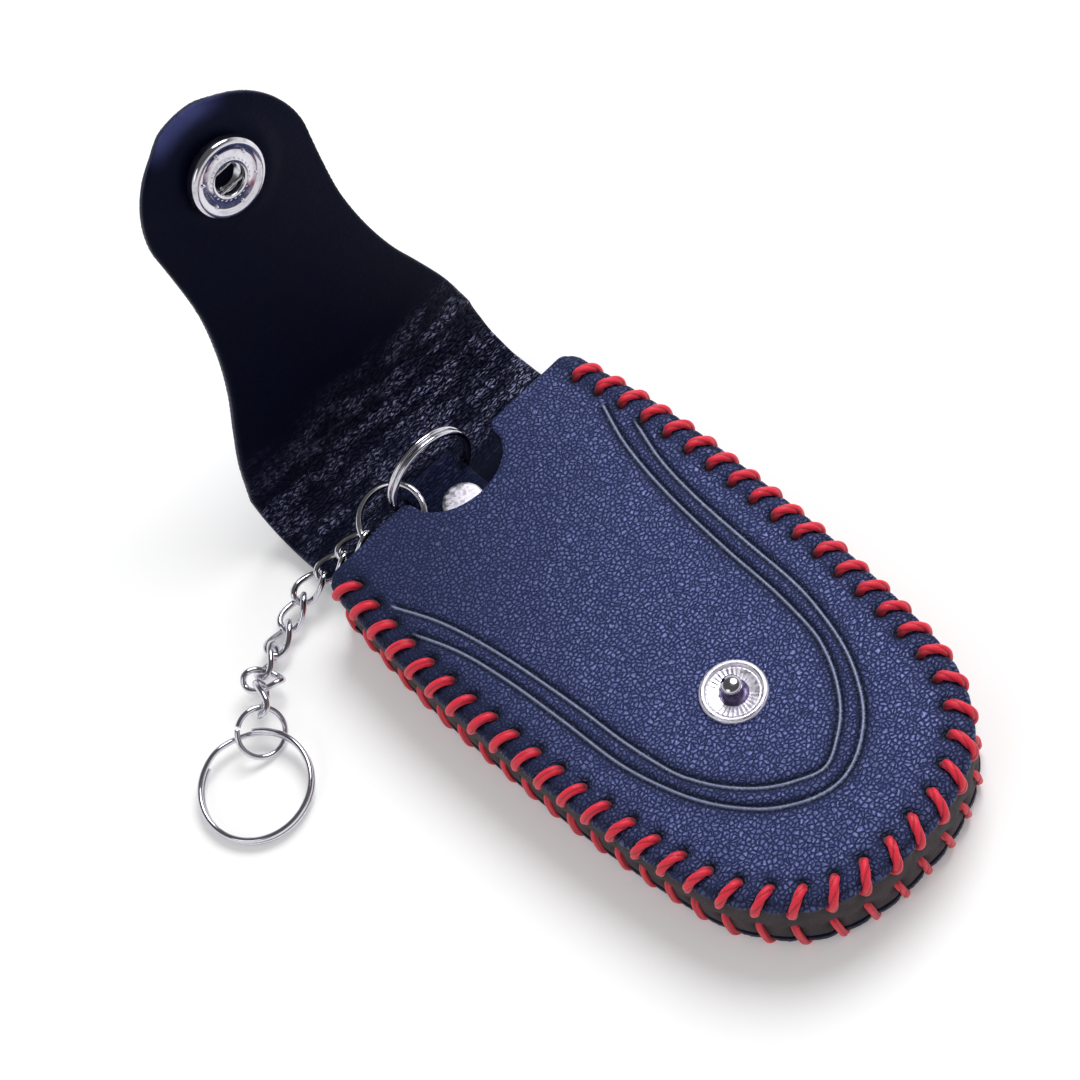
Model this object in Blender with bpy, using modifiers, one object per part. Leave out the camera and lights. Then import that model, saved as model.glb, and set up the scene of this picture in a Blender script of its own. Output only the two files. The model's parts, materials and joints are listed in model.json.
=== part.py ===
"""Key cover: a stitched leather pouch with a snap flap, and a chain for the keys.

The pouch lies on its back. X runs across it, Y along it with the mouth at +Y, and Z up.
The origin is on the centre line, on the flat face of the back panel that the pouch lies on.
"""

import math

import bmesh
import bpy
from mathutils import Matrix, Vector

MM = 0.001

# General sizes
LEATHER = 1.6 * MM
GAP = 0.3 * MM
OVERRUN = 1.0 * MM

# Stitch line, a U seen from the front, open at the mouth
SEAM_HALF_WIDTH = 24.7 * MM
SEAM_DEPTH = 51.1 * MM
SEAM_SHARES = (
    (0.0, -1.0),
    (0.264, -0.992),
    (0.583, -0.928),
    (0.805, -0.786),
    (0.895, -0.614),
    (0.973, -0.253),
    (1.0, 0.177),
    (0.985, 0.45),
    (0.93, 0.70),
)
SEAM_STEPS = 5
STITCHES = 46

# Panels
EDGE_MARGIN = 3.3 * MM
MOUTH_RISE = 4.5 * MM
MOUTH_CORNER = 3.0 * MM
CORNER_STEPS = 4
BELLY_INSET = 2.4 * MM
BELLY_ROUNDING = 0.6 * MM

# Finger notch in the front panel
NOTCH_HALF_WIDTH = 8.4 * MM
NOTCH_DEPTH = 7.8 * MM
NOTCH_LIP = 1.6 * MM
NOTCH_STEPS = 12

# Gusset, the side wall between the panels
GUSSET_HEIGHT = 8.4 * MM
GUSSET_WALL = 1.4 * MM
GUSSET_INSET = 0.8 * MM
GUSSET_STOP = 1.7 * MM

# Thread
THREAD_RADIUS = 0.45 * MM
THREAD_SIDE_STEPS = 0
HOLE_SIDES = 6
OVER_EDGE_SHARE = 0.36
DOWN_EDGE_SHARE = 0.42
NOTCH_SHARE = 0.52
INSIDE_SHARE = 0.6
BACK_STITCH_RISE = 3.0 * MM

# Flap, open and leaning back from its hinge line
HINGE_RISE = 3.1 * MM
FLAP_LEAN = math.radians(78.4)
FLAP_BEND_RADIUS = 10.0 * MM
FLAP_LENGTH = 62.8 * MM
FLAP_NARROW_SHARES = (
    (0.0, 1.0),
    (0.11, 0.93),
    (0.20, 0.84),
    (0.30, 0.73),
    (0.40, 0.655),
    (0.50, 0.61),
    (0.58, 0.598),
    (0.68, 0.61),
)
FLAP_TIP_RADIUS = 14.6 * MM
FLAP_STEPS = 2
TIP_STEPS = 20
BEND_STEPS = 8

# Snap fastener, placed from the flap's tip
SNAP_FROM_TIP = 10.89 * MM
SNAP_STEPS = 24
SNAP_PLAY = 0.15 * MM
SHEET = 0.35 * MM
STUD_RADIUS = 5.0 * MM
STUD_HEIGHT = 1.2 * MM
STUD_DISH = 0.7 * MM
STUD_RIM = 0.9 * MM
STUD_BALL_RADIUS = 1.75 * MM
STUD_BALL_HEIGHT = 2.7 * MM
STUD_BALL_SHARES = ((0.0, 1.0), (0.5, 0.96), (0.86, 0.83), (1.0, 0.68), (0.92, 0.55), (0.74, 0.42))
EYELET_RADIUS = 2.0 * MM
EYELET_FLANGE = 4.6 * MM
SOCKET_RADIUS = 6.2 * MM
SOCKET_HEIGHT = 2.4 * MM
SOCKET_MOUTH = 2.5 * MM
CAP_RADIUS = 6.4 * MM
CAP_CROWN = 1.5 * MM
CAP_SHARES = ((0.97, 0.3), (0.85, 0.6), (0.65, 0.82), (0.35, 0.96), (0.0, 1.0))
SHANK_RADIUS = 2.6 * MM
SPRING_WIRE = 0.25 * MM
SPRING_LENGTH = 8.4 * MM
SPRING_STEPS = 8

# Strap, a folded leather tongue that holds the first ring
STRAP_WIDTH = 9.8 * MM
STRAP_SIDE = 2.3 * MM
STRAP_LEATHER = 1.2 * MM
STRAP_TAIL = 30.0 * MM
STRAP_FOLD = 2.2 * MM
FOLD_RADIUS = 2.65 * MM
FOLD_STEPS = 8
STRAP_TOP_SHARES = ((0.02, 1.0), (0.3, 1.0), (0.45, 0.93), (0.7, 0.4), (0.85, 0.285), (1.0, 0.285))
STRAP_BOTTOM_SHARES = (
    (1.0, 0.0),
    (0.85, 0.0),
    (0.7, 0.115),
    (0.45, 0.63),
    (0.36, 0.7),
    (0.2, 0.7),
    (0.155, 0.62),
    (0.135, 0.34),
    (0.12, 0.1),
    (0.085, 0.0),
    (0.03, 0.0),
)
STRAP_STEPS = 3
RIVET_BACK = 5.0 * MM
RIVET_RADIUS = 3.3 * MM
RIVET_HEAD = 0.8 * MM
RIVET_POST = 1.2 * MM
RIVET_CAP_RADIUS = 1.9 * MM

# Rings
RING_WIRE = 0.45 * MM
WIRE_SIDE_STEPS = 1
COIL_SPACING = 1.35 * MM
COIL_STEPS = 24
JOG_ANGLE = 36
END_ANGLE = 12
STRAP_RING_RADIUS = 7.4 * MM
STRAP_RING_SHARES = (-0.054, 0.186)
STRAP_RING_TURN = -120
CHAIN_RING_RADIUS = 5.3 * MM
CHAIN_RING_WIRE = 0.5 * MM
CHAIN_RING_HANG = 195
CHAIN_RING_SHARES = (-0.276, 0.015, -0.023)
CHAIN_RING_LEAN = (19.9, -154.2)
CHAIN_RING_SLIT = -75
JUMP_SLIT = 0.35 * MM
JUMP_STEPS = 22
CHAIN_START = 157.5
END_RING_RADIUS = 3.7 * MM
END_RING_WIRE = 0.45 * MM
END_RING_LAY = (0.36, -133.1, 15.0)
END_RING_LEAN = (44.4, -86.8)
END_RING_START = 51.3
END_RING_SLIT = 130
KEY_RING_RADIUS = 8.5 * MM
KEY_RING_SHARES = (0.076, 0.062, -0.128)
KEY_RING_LEAN = (5.9, -145.8)
KEY_RING_START = 39.9
KEY_RING_TURN = 110

# Chain links, each an oval wire loop given a quarter turn along its length
LINK_LENGTH = 7.0 * MM
LINK_WIDTH = 4.6 * MM
LINK_WIRE = 0.5 * MM
LINK_STEPS = 18
LINK_TWIST = -45
LINK_SQUARENESS = 0.86
LINK_PITCH = 4.7 * MM

# The lay of each link: how far its middle is from the one before, as a share of the pitch,
# and the heading and climb of that step, then the heading, climb and roll of the link
CHAIN_LAY_SHARES = (
    (0.405, 164.1, -26.4, 162, -25, 11),
    (1.025, 163.4, -25.6, 162, -27, 4),
    (1.028, 164.3, -22.7, 171, -16, -2),
    (0.969, -174.2, -17.6, -165, -11, 16),
    (0.980, -162.5, -6.8, -156, 6, 25),
    (0.944, -154.3, 9.3, -150, 10, 64),
    (0.756, -141.4, 12.6, -46, -6, -11),
    (0.751, -131.3, 11.0, -125, 13, 77),
)

# Heights, from the resting face up
THREAD_LIFT = 2 * THREAD_RADIUS + GAP
BACK_LOW = THREAD_LIFT + GAP / 3
BACK_HIGH = BACK_LOW + LEATHER
GUSSET_LOW = BACK_HIGH + GAP
GUSSET_HIGH = GUSSET_LOW + GUSSET_HEIGHT
FRONT_LOW = GUSSET_HIGH + GAP
FRONT_HIGH = FRONT_LOW + LEATHER
SEAM_TOP = SEAM_SHARES[-1][1] * SEAM_DEPTH
MOUTH = SEAM_TOP + MOUTH_RISE
NOTCH_DROP = GAP + THREAD_RADIUS + GAP
FRONT_ENTRY = GUSSET_HIGH - NOTCH_DROP
BACK_ENTRY = GUSSET_LOW + BACK_STITCH_RISE

# The hinge line is in the middle of the back leather, and the closed flap lies on the stud
HINGE = Vector((0.0, MOUTH + HINGE_RISE, BACK_LOW + LEATHER / 2))
CLOSED_INSIDE = FRONT_HIGH + STUD_HEIGHT + GAP + SOCKET_HEIGHT
FLAP_OFFSET = CLOSED_INSIDE + LEATHER / 2 - HINGE.z
FLAT_RUN = (FLAP_OFFSET - FLAP_BEND_RADIUS * (1 - math.cos(FLAP_LEAN))) / math.sin(FLAP_LEAN)
FLAP_START = (FLAT_RUN + FLAP_BEND_RADIUS * math.sin(FLAP_LEAN)) * math.cos(FLAP_LEAN) + (
    FLAP_BEND_RADIUS * (1 - math.cos(FLAP_LEAN)) * math.sin(FLAP_LEAN)
)
SNAP_REACH = FLAP_START + FLAP_LENGTH - SNAP_FROM_TIP
STUD_Y = HINGE.y - SNAP_REACH

# A link's middle line
LINK_HALF = LINK_LENGTH / 2 - LINK_WIRE
LINK_SIDE = LINK_WIDTH / 2 - LINK_WIRE

# Heights of the strap and its rivet
STRAP_LOW = BACK_HIGH + GAP + STRAP_LEATHER / 2
STRAP_HIGH = STRAP_LOW + 2 * FOLD_RADIUS
RIVET_Y = MOUTH - RIVET_BACK


# Scene helpers
def clear_scene():
    """Remove what the file opened with."""
    for thing in list(bpy.data.objects):
        bpy.data.objects.remove(thing, do_unlink=True)


def new_collection(name):
    """Make a collection in the scene."""
    made = bpy.data.collections.new(name)
    bpy.context.scene.collection.children.link(made)
    return made


def material(name, colour, roughness, metallic=0.0):
    """Make a Principled material."""
    made = bpy.data.materials.new(name)
    made.use_nodes = True
    shader = made.node_tree.nodes["Principled BSDF"]
    shader.inputs["Base Color"].default_value = (*colour, 1.0)
    shader.inputs["Roughness"].default_value = roughness
    shader.inputs["Metallic"].default_value = metallic
    made.diffuse_color = (*colour, 1.0)
    return made


def navy_leather(name):
    """Grained navy leather."""
    return material(name, (0.035, 0.045, 0.12), 0.5)


def nickel(name):
    """Polished nickel plate."""
    return material(name, (0.78, 0.77, 0.8), 0.18, 1.0)


def put(thing, world, parent=None):
    """Place an object in the world, below a parent if it has one."""
    PARTS.objects.link(thing)
    if parent is not None:
        thing.parent = parent[0]
        thing.matrix_parent_inverse = parent[1].inverted()
    thing.matrix_basis = world
    return thing


def joint_empty(name, world, parent=None):
    """Mark a joint's axis with an empty, and return it with its place."""
    empty = bpy.data.objects.new(name, None)
    empty.empty_display_size = STUD_RADIUS
    put(empty, world, parent)
    return empty, world


# Shape helpers
def slab(name, loops, low, high, finish, rounding=0.0):
    """Fill a flat outline with its holes, and give it thickness from low to high."""
    curve = bpy.data.curves.new(name, "CURVE")
    curve.dimensions = "2D"
    curve.fill_mode = "BOTH"
    curve.extrude = (high - low) / 2 - rounding
    curve.bevel_depth = rounding
    curve.offset = -rounding
    curve.bevel_resolution = 0
    for loop in loops:
        spline = curve.splines.new("POLY")
        spline.points.add(len(loop) - 1)
        for point, place in zip(spline.points, loop):
            point.co = (place[0], place[1], 0.0, 1.0)
        spline.use_cyclic_u = True
    curve.materials.append(finish)
    made = bpy.data.objects.new(name, curve)
    return made, Matrix.Translation((0.0, 0.0, (low + high) / 2))


def tube(name, points, radius, sides, finish, closed=False):
    """Run a round wire through points."""
    curve = bpy.data.curves.new(name, "CURVE")
    curve.dimensions = "3D"
    curve.bevel_depth = radius
    curve.bevel_resolution = sides
    curve.use_fill_caps = True
    spline = curve.splines.new("POLY")
    spline.points.add(len(points) - 1)
    for point, place in zip(spline.points, points):
        point.co = (*place, 1.0)
    spline.use_cyclic_u = closed
    curve.materials.append(finish)
    return bpy.data.objects.new(name, curve)


def turned(name, profile, finish, closed=False):
    """Turn a profile of radius and height, listed down its outer side, about Z."""
    mesh = bpy.data.meshes.new(name)
    points = [(radius, 0.0, height) for radius, height in profile]
    edges = [(i, i + 1) for i in range(len(points) - 1)]
    if closed:
        edges.append((len(points) - 1, 0))
    mesh.from_pydata(points, edges, [])
    mesh.materials.append(finish)
    made = bpy.data.objects.new(name, mesh)
    screw = made.modifiers.new("Turn", "SCREW")
    screw.steps = SNAP_STEPS
    screw.render_steps = SNAP_STEPS
    screw.use_merge_vertices = True
    screw.merge_threshold = GAP / 100
    return made


def as_mesh(thing, world):
    """Make a curve a welded mesh, in the world's coordinates, with the curve removed."""
    TOOLS.objects.link(thing)
    thing.matrix_basis = world
    bpy.context.view_layer.update()
    evaluated = thing.evaluated_get(bpy.context.evaluated_depsgraph_get())
    mesh = bpy.data.meshes.new_from_object(evaluated)
    made = bpy.data.objects.new(thing.name, mesh)
    shape = bmesh.new()
    shape.from_mesh(mesh)
    bmesh.ops.remove_doubles(shape, verts=shape.verts, dist=GAP / 100)
    bmesh.ops.transform(shape, matrix=world, verts=shape.verts)
    shape.to_mesh(mesh)
    shape.free()
    name = thing.name
    bpy.data.objects.remove(thing, do_unlink=True)
    made.name = name
    return made


def cut_or_join(thing, other, operation):
    """Cut another shape from this one, or join it on, and hide the other."""
    other.hide_render = True
    other.display_type = "WIRE"
    if other.name not in TOOLS.objects:
        TOOLS.objects.link(other)
    boolean = thing.modifiers.new(operation.title(), "BOOLEAN")
    boolean.operation = operation
    boolean.solver = "EXACT"
    boolean.object = other


def arc(centre, radius, start, end, steps):
    """Points along an arc, its angles in degrees."""
    points = []
    for step in range(steps + 1):
        angle = math.radians(start + (end - start) * step / steps)
        points.append(centre + radius * Vector((math.cos(angle), math.sin(angle))))
    return points


def smooth(knots, steps):
    """Points along a smooth curve through the knots."""
    padded = [2 * knots[0] - knots[1], *knots, 2 * knots[-1] - knots[-2]]
    curve = []
    for a, b, c, d in zip(padded, padded[1:], padded[2:], padded[3:]):
        for step in range(steps):
            t = step / steps
            bend = (2 * a - 5 * b + 4 * c - d) * t * t + (3 * b - a - 3 * c + d) * t ** 3
            curve.append((2 * b + (c - a) * t + bend) / 2)
    curve.append(knots[-1])
    return curve


def left_normal(before, after):
    """The direction to the left of the way from one point to another."""
    way = (after - before).normalized()
    return Vector((-way.y, way.x))


def offset(curve, distance):
    """Move an open curve sideways to its left."""
    moved = []
    last = len(curve) - 1
    for i, point in enumerate(curve):
        moved.append(point + distance * left_normal(curve[max(i - 1, 0)], curve[min(i + 1, last)]))
    return moved


def print_least_gap(name, points, radius):
    """Print the least clear space between the turns of a wire."""
    lengths = [0.0]
    for before, after in zip(points, points[1:]):
        lengths.append(lengths[-1] + (after - before).length)
    apart = []
    for i, point in enumerate(points):
        for j in range(i + 1, len(points)):
            if lengths[j] - lengths[i] > 4 * radius:
                apart.append((points[j] - point).length - 2 * radius)
    print(f"{name}: least gap between turns {min(apart) / MM:.2f} mm")


# Stitch line
def seam_line():
    """The stitch line from the right end of the mouth round the bottom to the left end."""
    half = [Vector((x * SEAM_HALF_WIDTH, y * SEAM_DEPTH)) for x, y in SEAM_SHARES]
    right = list(reversed(half))
    left = [Vector((-point.x, point.y)) for point in half[1:]]
    return smooth(right + left, SEAM_STEPS)


class Seam:
    """Places along the stitch line, counted in stitches from the right end of the mouth."""

    def __init__(self):
        self.line = seam_line()
        self.lengths = [0.0]
        for before, after in zip(self.line, self.line[1:]):
            self.lengths.append(self.lengths[-1] + (after - before).length)
        self.pitch = self.lengths[-1] / (STITCHES - 1)

    def at(self, stitch):
        """A place and the outward direction there."""
        distance = stitch * self.pitch
        i = 0
        while i < len(self.line) - 2 and self.lengths[i + 1] < distance:
            i += 1
        run = self.line[i + 1] - self.line[i]
        share = (distance - self.lengths[i]) / run.length
        return self.line[i] + share * run, left_normal(self.line[i], self.line[i + 1])

    def out(self, stitch, distance, height):
        """A place a distance outwards from the stitch line, at a height."""
        place, outward = self.at(stitch)
        moved = place + distance * outward
        return Vector((moved.x, moved.y, height))


def panel_side(seam):
    """The panels' edge from the right mouth corner round the bottom to the left one."""
    side = offset(seam.line, EDGE_MARGIN)
    corner = Vector((side[0].x - MOUTH_CORNER, MOUTH - MOUTH_CORNER))
    left_corner = Vector((-corner.x, corner.y))
    right_arc = arc(corner, MOUTH_CORNER, 90, 0, CORNER_STEPS)
    left_arc = arc(left_corner, MOUTH_CORNER, 180, 90, CORNER_STEPS)
    return right_arc + side + left_arc


def finger_notch():
    """The edge of the finger notch, from left to right."""
    lip_height = MOUTH - NOTCH_LIP
    lip = Vector((NOTCH_HALF_WIDTH + NOTCH_LIP, lip_height))
    left = arc(Vector((-lip.x, lip.y)), NOTCH_LIP, 90, 0, CORNER_STEPS)
    right = arc(lip, NOTCH_LIP, 180, 90, CORNER_STEPS)
    bottom = []
    for step in range(1, NOTCH_STEPS):
        angle = math.pi * step / NOTCH_STEPS
        drop = (NOTCH_DEPTH - NOTCH_LIP) * math.sin(angle)
        bottom.append(Vector((-NOTCH_HALF_WIDTH * math.cos(angle), lip_height - drop)))
    return left + bottom + right


def stitch_holes(seam):
    """The holes along the stitch line."""
    radius = THREAD_RADIUS + GAP
    holes = []
    for stitch in range(STITCHES):
        place = seam.at(stitch)[0]
        holes.append(arc(place, radius, 0, 360, HOLE_SIDES)[:-1])
    return holes


# Pouch
def front_panel(seam):
    """The front panel with its finger notch, stitch holes and snap hole."""
    outline = panel_side(seam) + finger_notch()
    snap_hole = arc(Vector((0.0, STUD_Y)), EYELET_RADIUS + GAP, 0, 360, SNAP_STEPS)[:-1]
    loops = [outline, snap_hole, *stitch_holes(seam)]
    finish = navy_leather("Front leather")
    put(*slab("front_panel", loops, FRONT_LOW, FRONT_HIGH, finish))


def back_panel(seam):
    """The back panel up to the flap's hinge line, with the fuller face that it lies on."""
    side = panel_side(seam)
    root = side[0].x
    stop = HINGE.y - GAP / 2
    outline = side + [Vector((-root, stop)), Vector((root, stop))]
    finish = navy_leather("Back leather")
    panel = as_mesh(*slab("back_panel", [outline], BACK_LOW, BACK_HIGH, finish))
    belly_outline = offset(seam.line, -BELLY_INSET)
    joined = BACK_LOW + LEATHER / 2
    belly = as_mesh(*slab("belly", [belly_outline], 0.0, joined, finish, BELLY_ROUNDING))
    cut_or_join(panel, belly, "UNION")
    low = BACK_LOW - OVERRUN
    high = BACK_HIGH + OVERRUN
    holes = as_mesh(*slab("stitch_holes", stitch_holes(seam), low, high, finish))
    cut_or_join(panel, holes, "DIFFERENCE")
    put(panel, Matrix.Identity(4))


def gusset(seam):
    """The side wall, a U of leather notched where the thread goes through it."""
    outer_out = EDGE_MARGIN - GUSSET_INSET
    stop = MOUTH - GUSSET_STOP
    outer = offset(seam.line, outer_out)
    inner = offset(seam.line, outer_out - GUSSET_WALL)
    for wall in (outer, inner):
        wall.insert(0, Vector((wall[0].x, stop)))
        wall.append(Vector((wall[-1].x, stop)))
    outline = outer + list(reversed(inner))
    finish = material("Gusset leather", (0.09, 0.07, 0.065), 0.75)
    wall = as_mesh(*slab("gusset", [outline], GUSSET_LOW, GUSSET_HIGH, finish))
    cut_or_join(wall, thread_notches(seam, outer_out - GUSSET_WALL / 2), "DIFFERENCE")
    put(wall, Matrix.Identity(4))


def thread_notches(seam, middle):
    """Cutters for the notches in the gusset's upper edge, and for the holes above its lower one."""
    width = 2 * (THREAD_RADIUS + GAP) + GAP
    through = GUSSET_WALL + 2 * OVERRUN
    shape = bmesh.new()
    for stitch in range(STITCHES):
        outward = seam.at(stitch + NOTCH_SHARE)[1]
        turn = Matrix.Rotation(math.atan2(outward.y, outward.x), 4, "Z")
        for low, high in (
            (FRONT_ENTRY - width / 2, GUSSET_HIGH + OVERRUN),
            (BACK_ENTRY - width / 2, BACK_ENTRY + width / 2),
        ):
            place = Matrix.Translation(seam.out(stitch + NOTCH_SHARE, middle, (low + high) / 2))
            size = Matrix.Diagonal((through, width, high - low, 1.0))
            bmesh.ops.create_cube(shape, size=1.0, matrix=place @ turn @ size)
    mesh = bpy.data.meshes.new("thread_notches")
    shape.to_mesh(mesh)
    shape.free()
    return bpy.data.objects.new("thread_notches", mesh)


def whip_stitches(name, seam, above, entry, finish):
    """One thread whipped over a panel's edge and through the gusset, from right to left.

    above is its height on the panel's outer face, and entry is its height through the gusset.
    """
    beyond = EDGE_MARGIN + GAP + THREAD_RADIUS
    points = []
    for stitch in range(STITCHES):
        points.append(seam.out(stitch, 0.0, entry))
        points.append(seam.out(stitch, 0.0, above))
        points.append(seam.out(stitch + OVER_EDGE_SHARE, beyond, above))
        points.append(seam.out(stitch + DOWN_EDGE_SHARE, beyond, entry))
        points.append(seam.out(stitch + INSIDE_SHARE, 0.0, entry))
    put(tube(name, points, THREAD_RADIUS, THREAD_SIDE_STEPS, finish), Matrix.Identity(4))


# Strap
def strap_side(shares):
    """Places in the strap's side view, from shares of its length and of its height."""
    rise = 2 * FOLD_RADIUS
    fold = MOUTH + STRAP_FOLD
    knots = [Vector((fold - y * STRAP_TAIL, STRAP_LOW + z * rise)) for y, z in shares]
    return smooth(knots, STRAP_STEPS)


def strap_path():
    """The middle of the strap's leather, seen from the side, from its lower tail to the upper."""
    middle = Vector((MOUTH + STRAP_FOLD, STRAP_LOW + FOLD_RADIUS))
    bight = arc(middle, FOLD_RADIUS, -90, 90, FOLD_STEPS)
    return strap_side(STRAP_BOTTOM_SHARES) + bight + strap_side(STRAP_TOP_SHARES)


def side_view(across):
    """Stand a flat outline up, its first axis along Y and its second along Z."""
    turn = Matrix(((0, 0, 1, 0), (1, 0, 0, 0), (0, 1, 0, 0), (0, 0, 0, 1)))
    return Matrix.Translation((across, 0.0, 0.0)) @ turn


def band(name, path, thickness, half_width, finish):
    """Leather of even thickness along a path in the side view."""
    outline = offset(path, thickness / 2) + list(reversed(offset(path, -thickness / 2)))
    return slab(name, [outline], -half_width, half_width, finish)[0]


def strap():
    """The folded strap, with the rivet's hole through both layers."""
    finish = material("Strap leather", (0.02, 0.022, 0.045), 0.42)
    flat = band("strap", strap_path(), STRAP_LEATHER, STRAP_WIDTH / 2, finish)
    made = as_mesh(flat, side_view(-STRAP_SIDE))
    middle = Vector((-STRAP_SIDE, RIVET_Y))
    hole = arc(middle, RIVET_POST + GAP, 0, 360, SNAP_STEPS // 2)[:-1]
    cutter = as_mesh(*slab("rivet_hole", [hole], BACK_HIGH, FRONT_HIGH, finish))
    cut_or_join(made, cutter, "DIFFERENCE")
    put(made, Matrix.Identity(4))


def strap_rivet():
    """The rivet through both layers of the strap, and the cap that closes it."""
    head = STRAP_HIGH + STRAP_LEATHER / 2 + GAP
    under = STRAP_LOW + STRAP_BOTTOM_SHARES[5][1] * 2 * FOLD_RADIUS - STRAP_LEATHER / 2
    cap = under - GAP
    place = Matrix.Translation((-STRAP_SIDE, RIVET_Y, 0.0))
    profile = (
        (0.0, head + RIVET_HEAD),
        (RIVET_RADIUS - RIVET_HEAD / 3, head + RIVET_HEAD),
        (RIVET_RADIUS, head + RIVET_HEAD * 2 / 3),
        (RIVET_RADIUS, head),
        (RIVET_POST, head),
        (RIVET_POST, cap + GAP),
        (0.0, cap + GAP),
    )
    put(turned("strap_rivet", profile, nickel("Rivet nickel")), place)
    profile = (
        (0.0, cap),
        (RIVET_CAP_RADIUS, cap),
        (RIVET_CAP_RADIUS, cap - RIVET_HEAD / 2),
        (RIVET_POST, cap - RIVET_HEAD),
        (0.0, cap - RIVET_HEAD),
    )
    put(turned("strap_rivet_cap", profile, nickel("Rivet cap nickel")), place)


# Snap on the pouch
def snap_stud():
    """The stud on the front panel, a rolled dish with a ball post."""
    low = FRONT_HIGH + GAP
    top = FRONT_HIGH + STUD_HEIGHT
    floor = FRONT_HIGH + STUD_DISH
    rim = STUD_RIM / 2
    inner = STUD_RADIUS - STUD_RIM
    profile = [(r * STUD_BALL_RADIUS, top + z * STUD_BALL_HEIGHT) for r, z in STUD_BALL_SHARES]
    profile += [
        (STUD_BALL_SHARES[-1][0] * STUD_BALL_RADIUS, floor),
        (inner - rim, floor),
        (inner, (floor + top) / 2),
        (inner + rim / 2, top),
        (STUD_RADIUS - rim / 2, top),
        (STUD_RADIUS, (low + top) / 2),
        (STUD_RADIUS - rim / 2, low),
        (0.0, low),
    ]
    put(turned("snap_stud", profile, nickel("Stud nickel")), Matrix.Translation((0.0, STUD_Y, 0.0)))


def snap_eyelet():
    """The eyelet that comes through the front panel from inside the pouch."""
    flange = FRONT_LOW - GAP
    profile = (
        (0.0, FRONT_HIGH),
        (EYELET_RADIUS, FRONT_HIGH),
        (EYELET_RADIUS, flange),
        (EYELET_FLANGE, flange),
        (EYELET_FLANGE, flange - SHEET),
        (0.0, flange - SHEET),
    )
    place = Matrix.Translation((0.0, STUD_Y, 0.0))
    put(turned("snap_eyelet", profile, nickel("Eyelet nickel")), place)


# Flap
def flap_frame():
    """The hinge's frame, with Y up along the flap and Z out of its inner face."""
    return Matrix.Translation(HINGE) @ Matrix.Rotation(FLAP_LEAN, 4, "X")


def flap_bend(root, hinge):
    """The root of the flap, from the hinge line up its bend."""
    centre = Vector((HINGE.y + FLAT_RUN, HINGE.z + FLAP_BEND_RADIUS))
    bend = arc(centre, FLAP_BEND_RADIUS, -90, math.degrees(FLAP_LEAN) - 90, BEND_STEPS)
    along = Vector((math.cos(FLAP_LEAN), math.sin(FLAP_LEAN)))
    path = [Vector((HINGE.y + GAP / 2, HINGE.z)), *bend, bend[-1] + (OVERRUN - GAP) * along]
    flat = band("flap_bend", path, LEATHER, root, navy_leather("Flap root leather"))
    put(as_mesh(flat, side_view(0.0)), Matrix.Identity(4), hinge)


def flap_edge(root):
    """The flap's edge from its right root round the tip to its left root."""
    centre = FLAP_START + FLAP_LENGTH - FLAP_TIP_RADIUS
    knots = [Vector((w * root, FLAP_START + s * FLAP_LENGTH)) for s, w in FLAP_NARROW_SHARES]
    knots.append(Vector((FLAP_TIP_RADIUS, centre)))
    side = smooth(knots, FLAP_STEPS)
    side[0].y += OVERRUN
    tip = arc(Vector((0.0, centre)), FLAP_TIP_RADIUS, 0, 180, TIP_STEPS)[1:-1]
    other = [Vector((-point.x, point.y)) for point in reversed(side)]
    return side + tip + other


def flap(root, hinge):
    """The flat of the flap, with the snap's hole."""
    hole = arc(Vector((0.0, SNAP_REACH)), SHANK_RADIUS + GAP, 0, 360, SNAP_STEPS)[:-1]
    low = -FLAP_OFFSET - LEATHER / 2
    flat, place = slab("flap", [flap_edge(root), hole], low, low + LEATHER, navy_leather("Flap leather"))
    put(flat, flap_frame() @ place, hinge)


def flap_snap(hinge):
    """The socket, its spring and the cap that holds them, on the flap."""
    inside = -FLAP_OFFSET + LEATHER / 2
    outside = -FLAP_OFFSET - LEATHER / 2
    plate = inside + SNAP_PLAY
    flare = plate + SHEET + SNAP_PLAY
    wire = flare + SHEET + SNAP_PLAY + SPRING_WIRE
    place = flap_frame() @ Matrix.Translation((0.0, SNAP_REACH, 0.0))
    put(turned("snap_socket", socket_profile(plate, inside), nickel("Socket nickel"), True), place, hinge)
    put(turned("snap_cap", cap_profile(outside, flare), nickel("Cap nickel")), place, hinge)
    lift = Matrix.Translation((0.0, 0.0, wire))
    reach = STUD_BALL_RADIUS + GAP / 3 + SPRING_WIRE
    straight = SPRING_LENGTH / 2 - SPRING_WIRE - reach
    ends = arc(Vector((0.0, straight)), reach, 0, 180, SPRING_STEPS)
    ends += arc(Vector((0.0, -straight)), reach, 180, 360, SPRING_STEPS)
    points = [(point.x, point.y, 0.0) for point in ends]
    steel = material("Spring steel", (0.6, 0.6, 0.62), 0.25, 1.0)
    spring = tube("snap_spring", points, SPRING_WIRE, WIRE_SIDE_STEPS, steel, True)
    put(spring, place @ lift, hinge)


def socket_profile(plate, inside):
    """A rolled ring, hollow inside, with a mouth for the stud."""
    face = inside + SOCKET_HEIGHT
    inner = SHANK_RADIUS + GAP
    wall = SOCKET_RADIUS - SHEET
    return (
        (SOCKET_MOUTH, face),
        (wall, face),
        (SOCKET_RADIUS, face - SHEET),
        (SOCKET_RADIUS, plate + SHEET),
        (wall, plate),
        (inner, plate),
        (inner, plate + SHEET),
        (wall, plate + SHEET),
        (wall, face - SHEET),
        (SOCKET_MOUTH, face - SHEET),
    )


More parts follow.
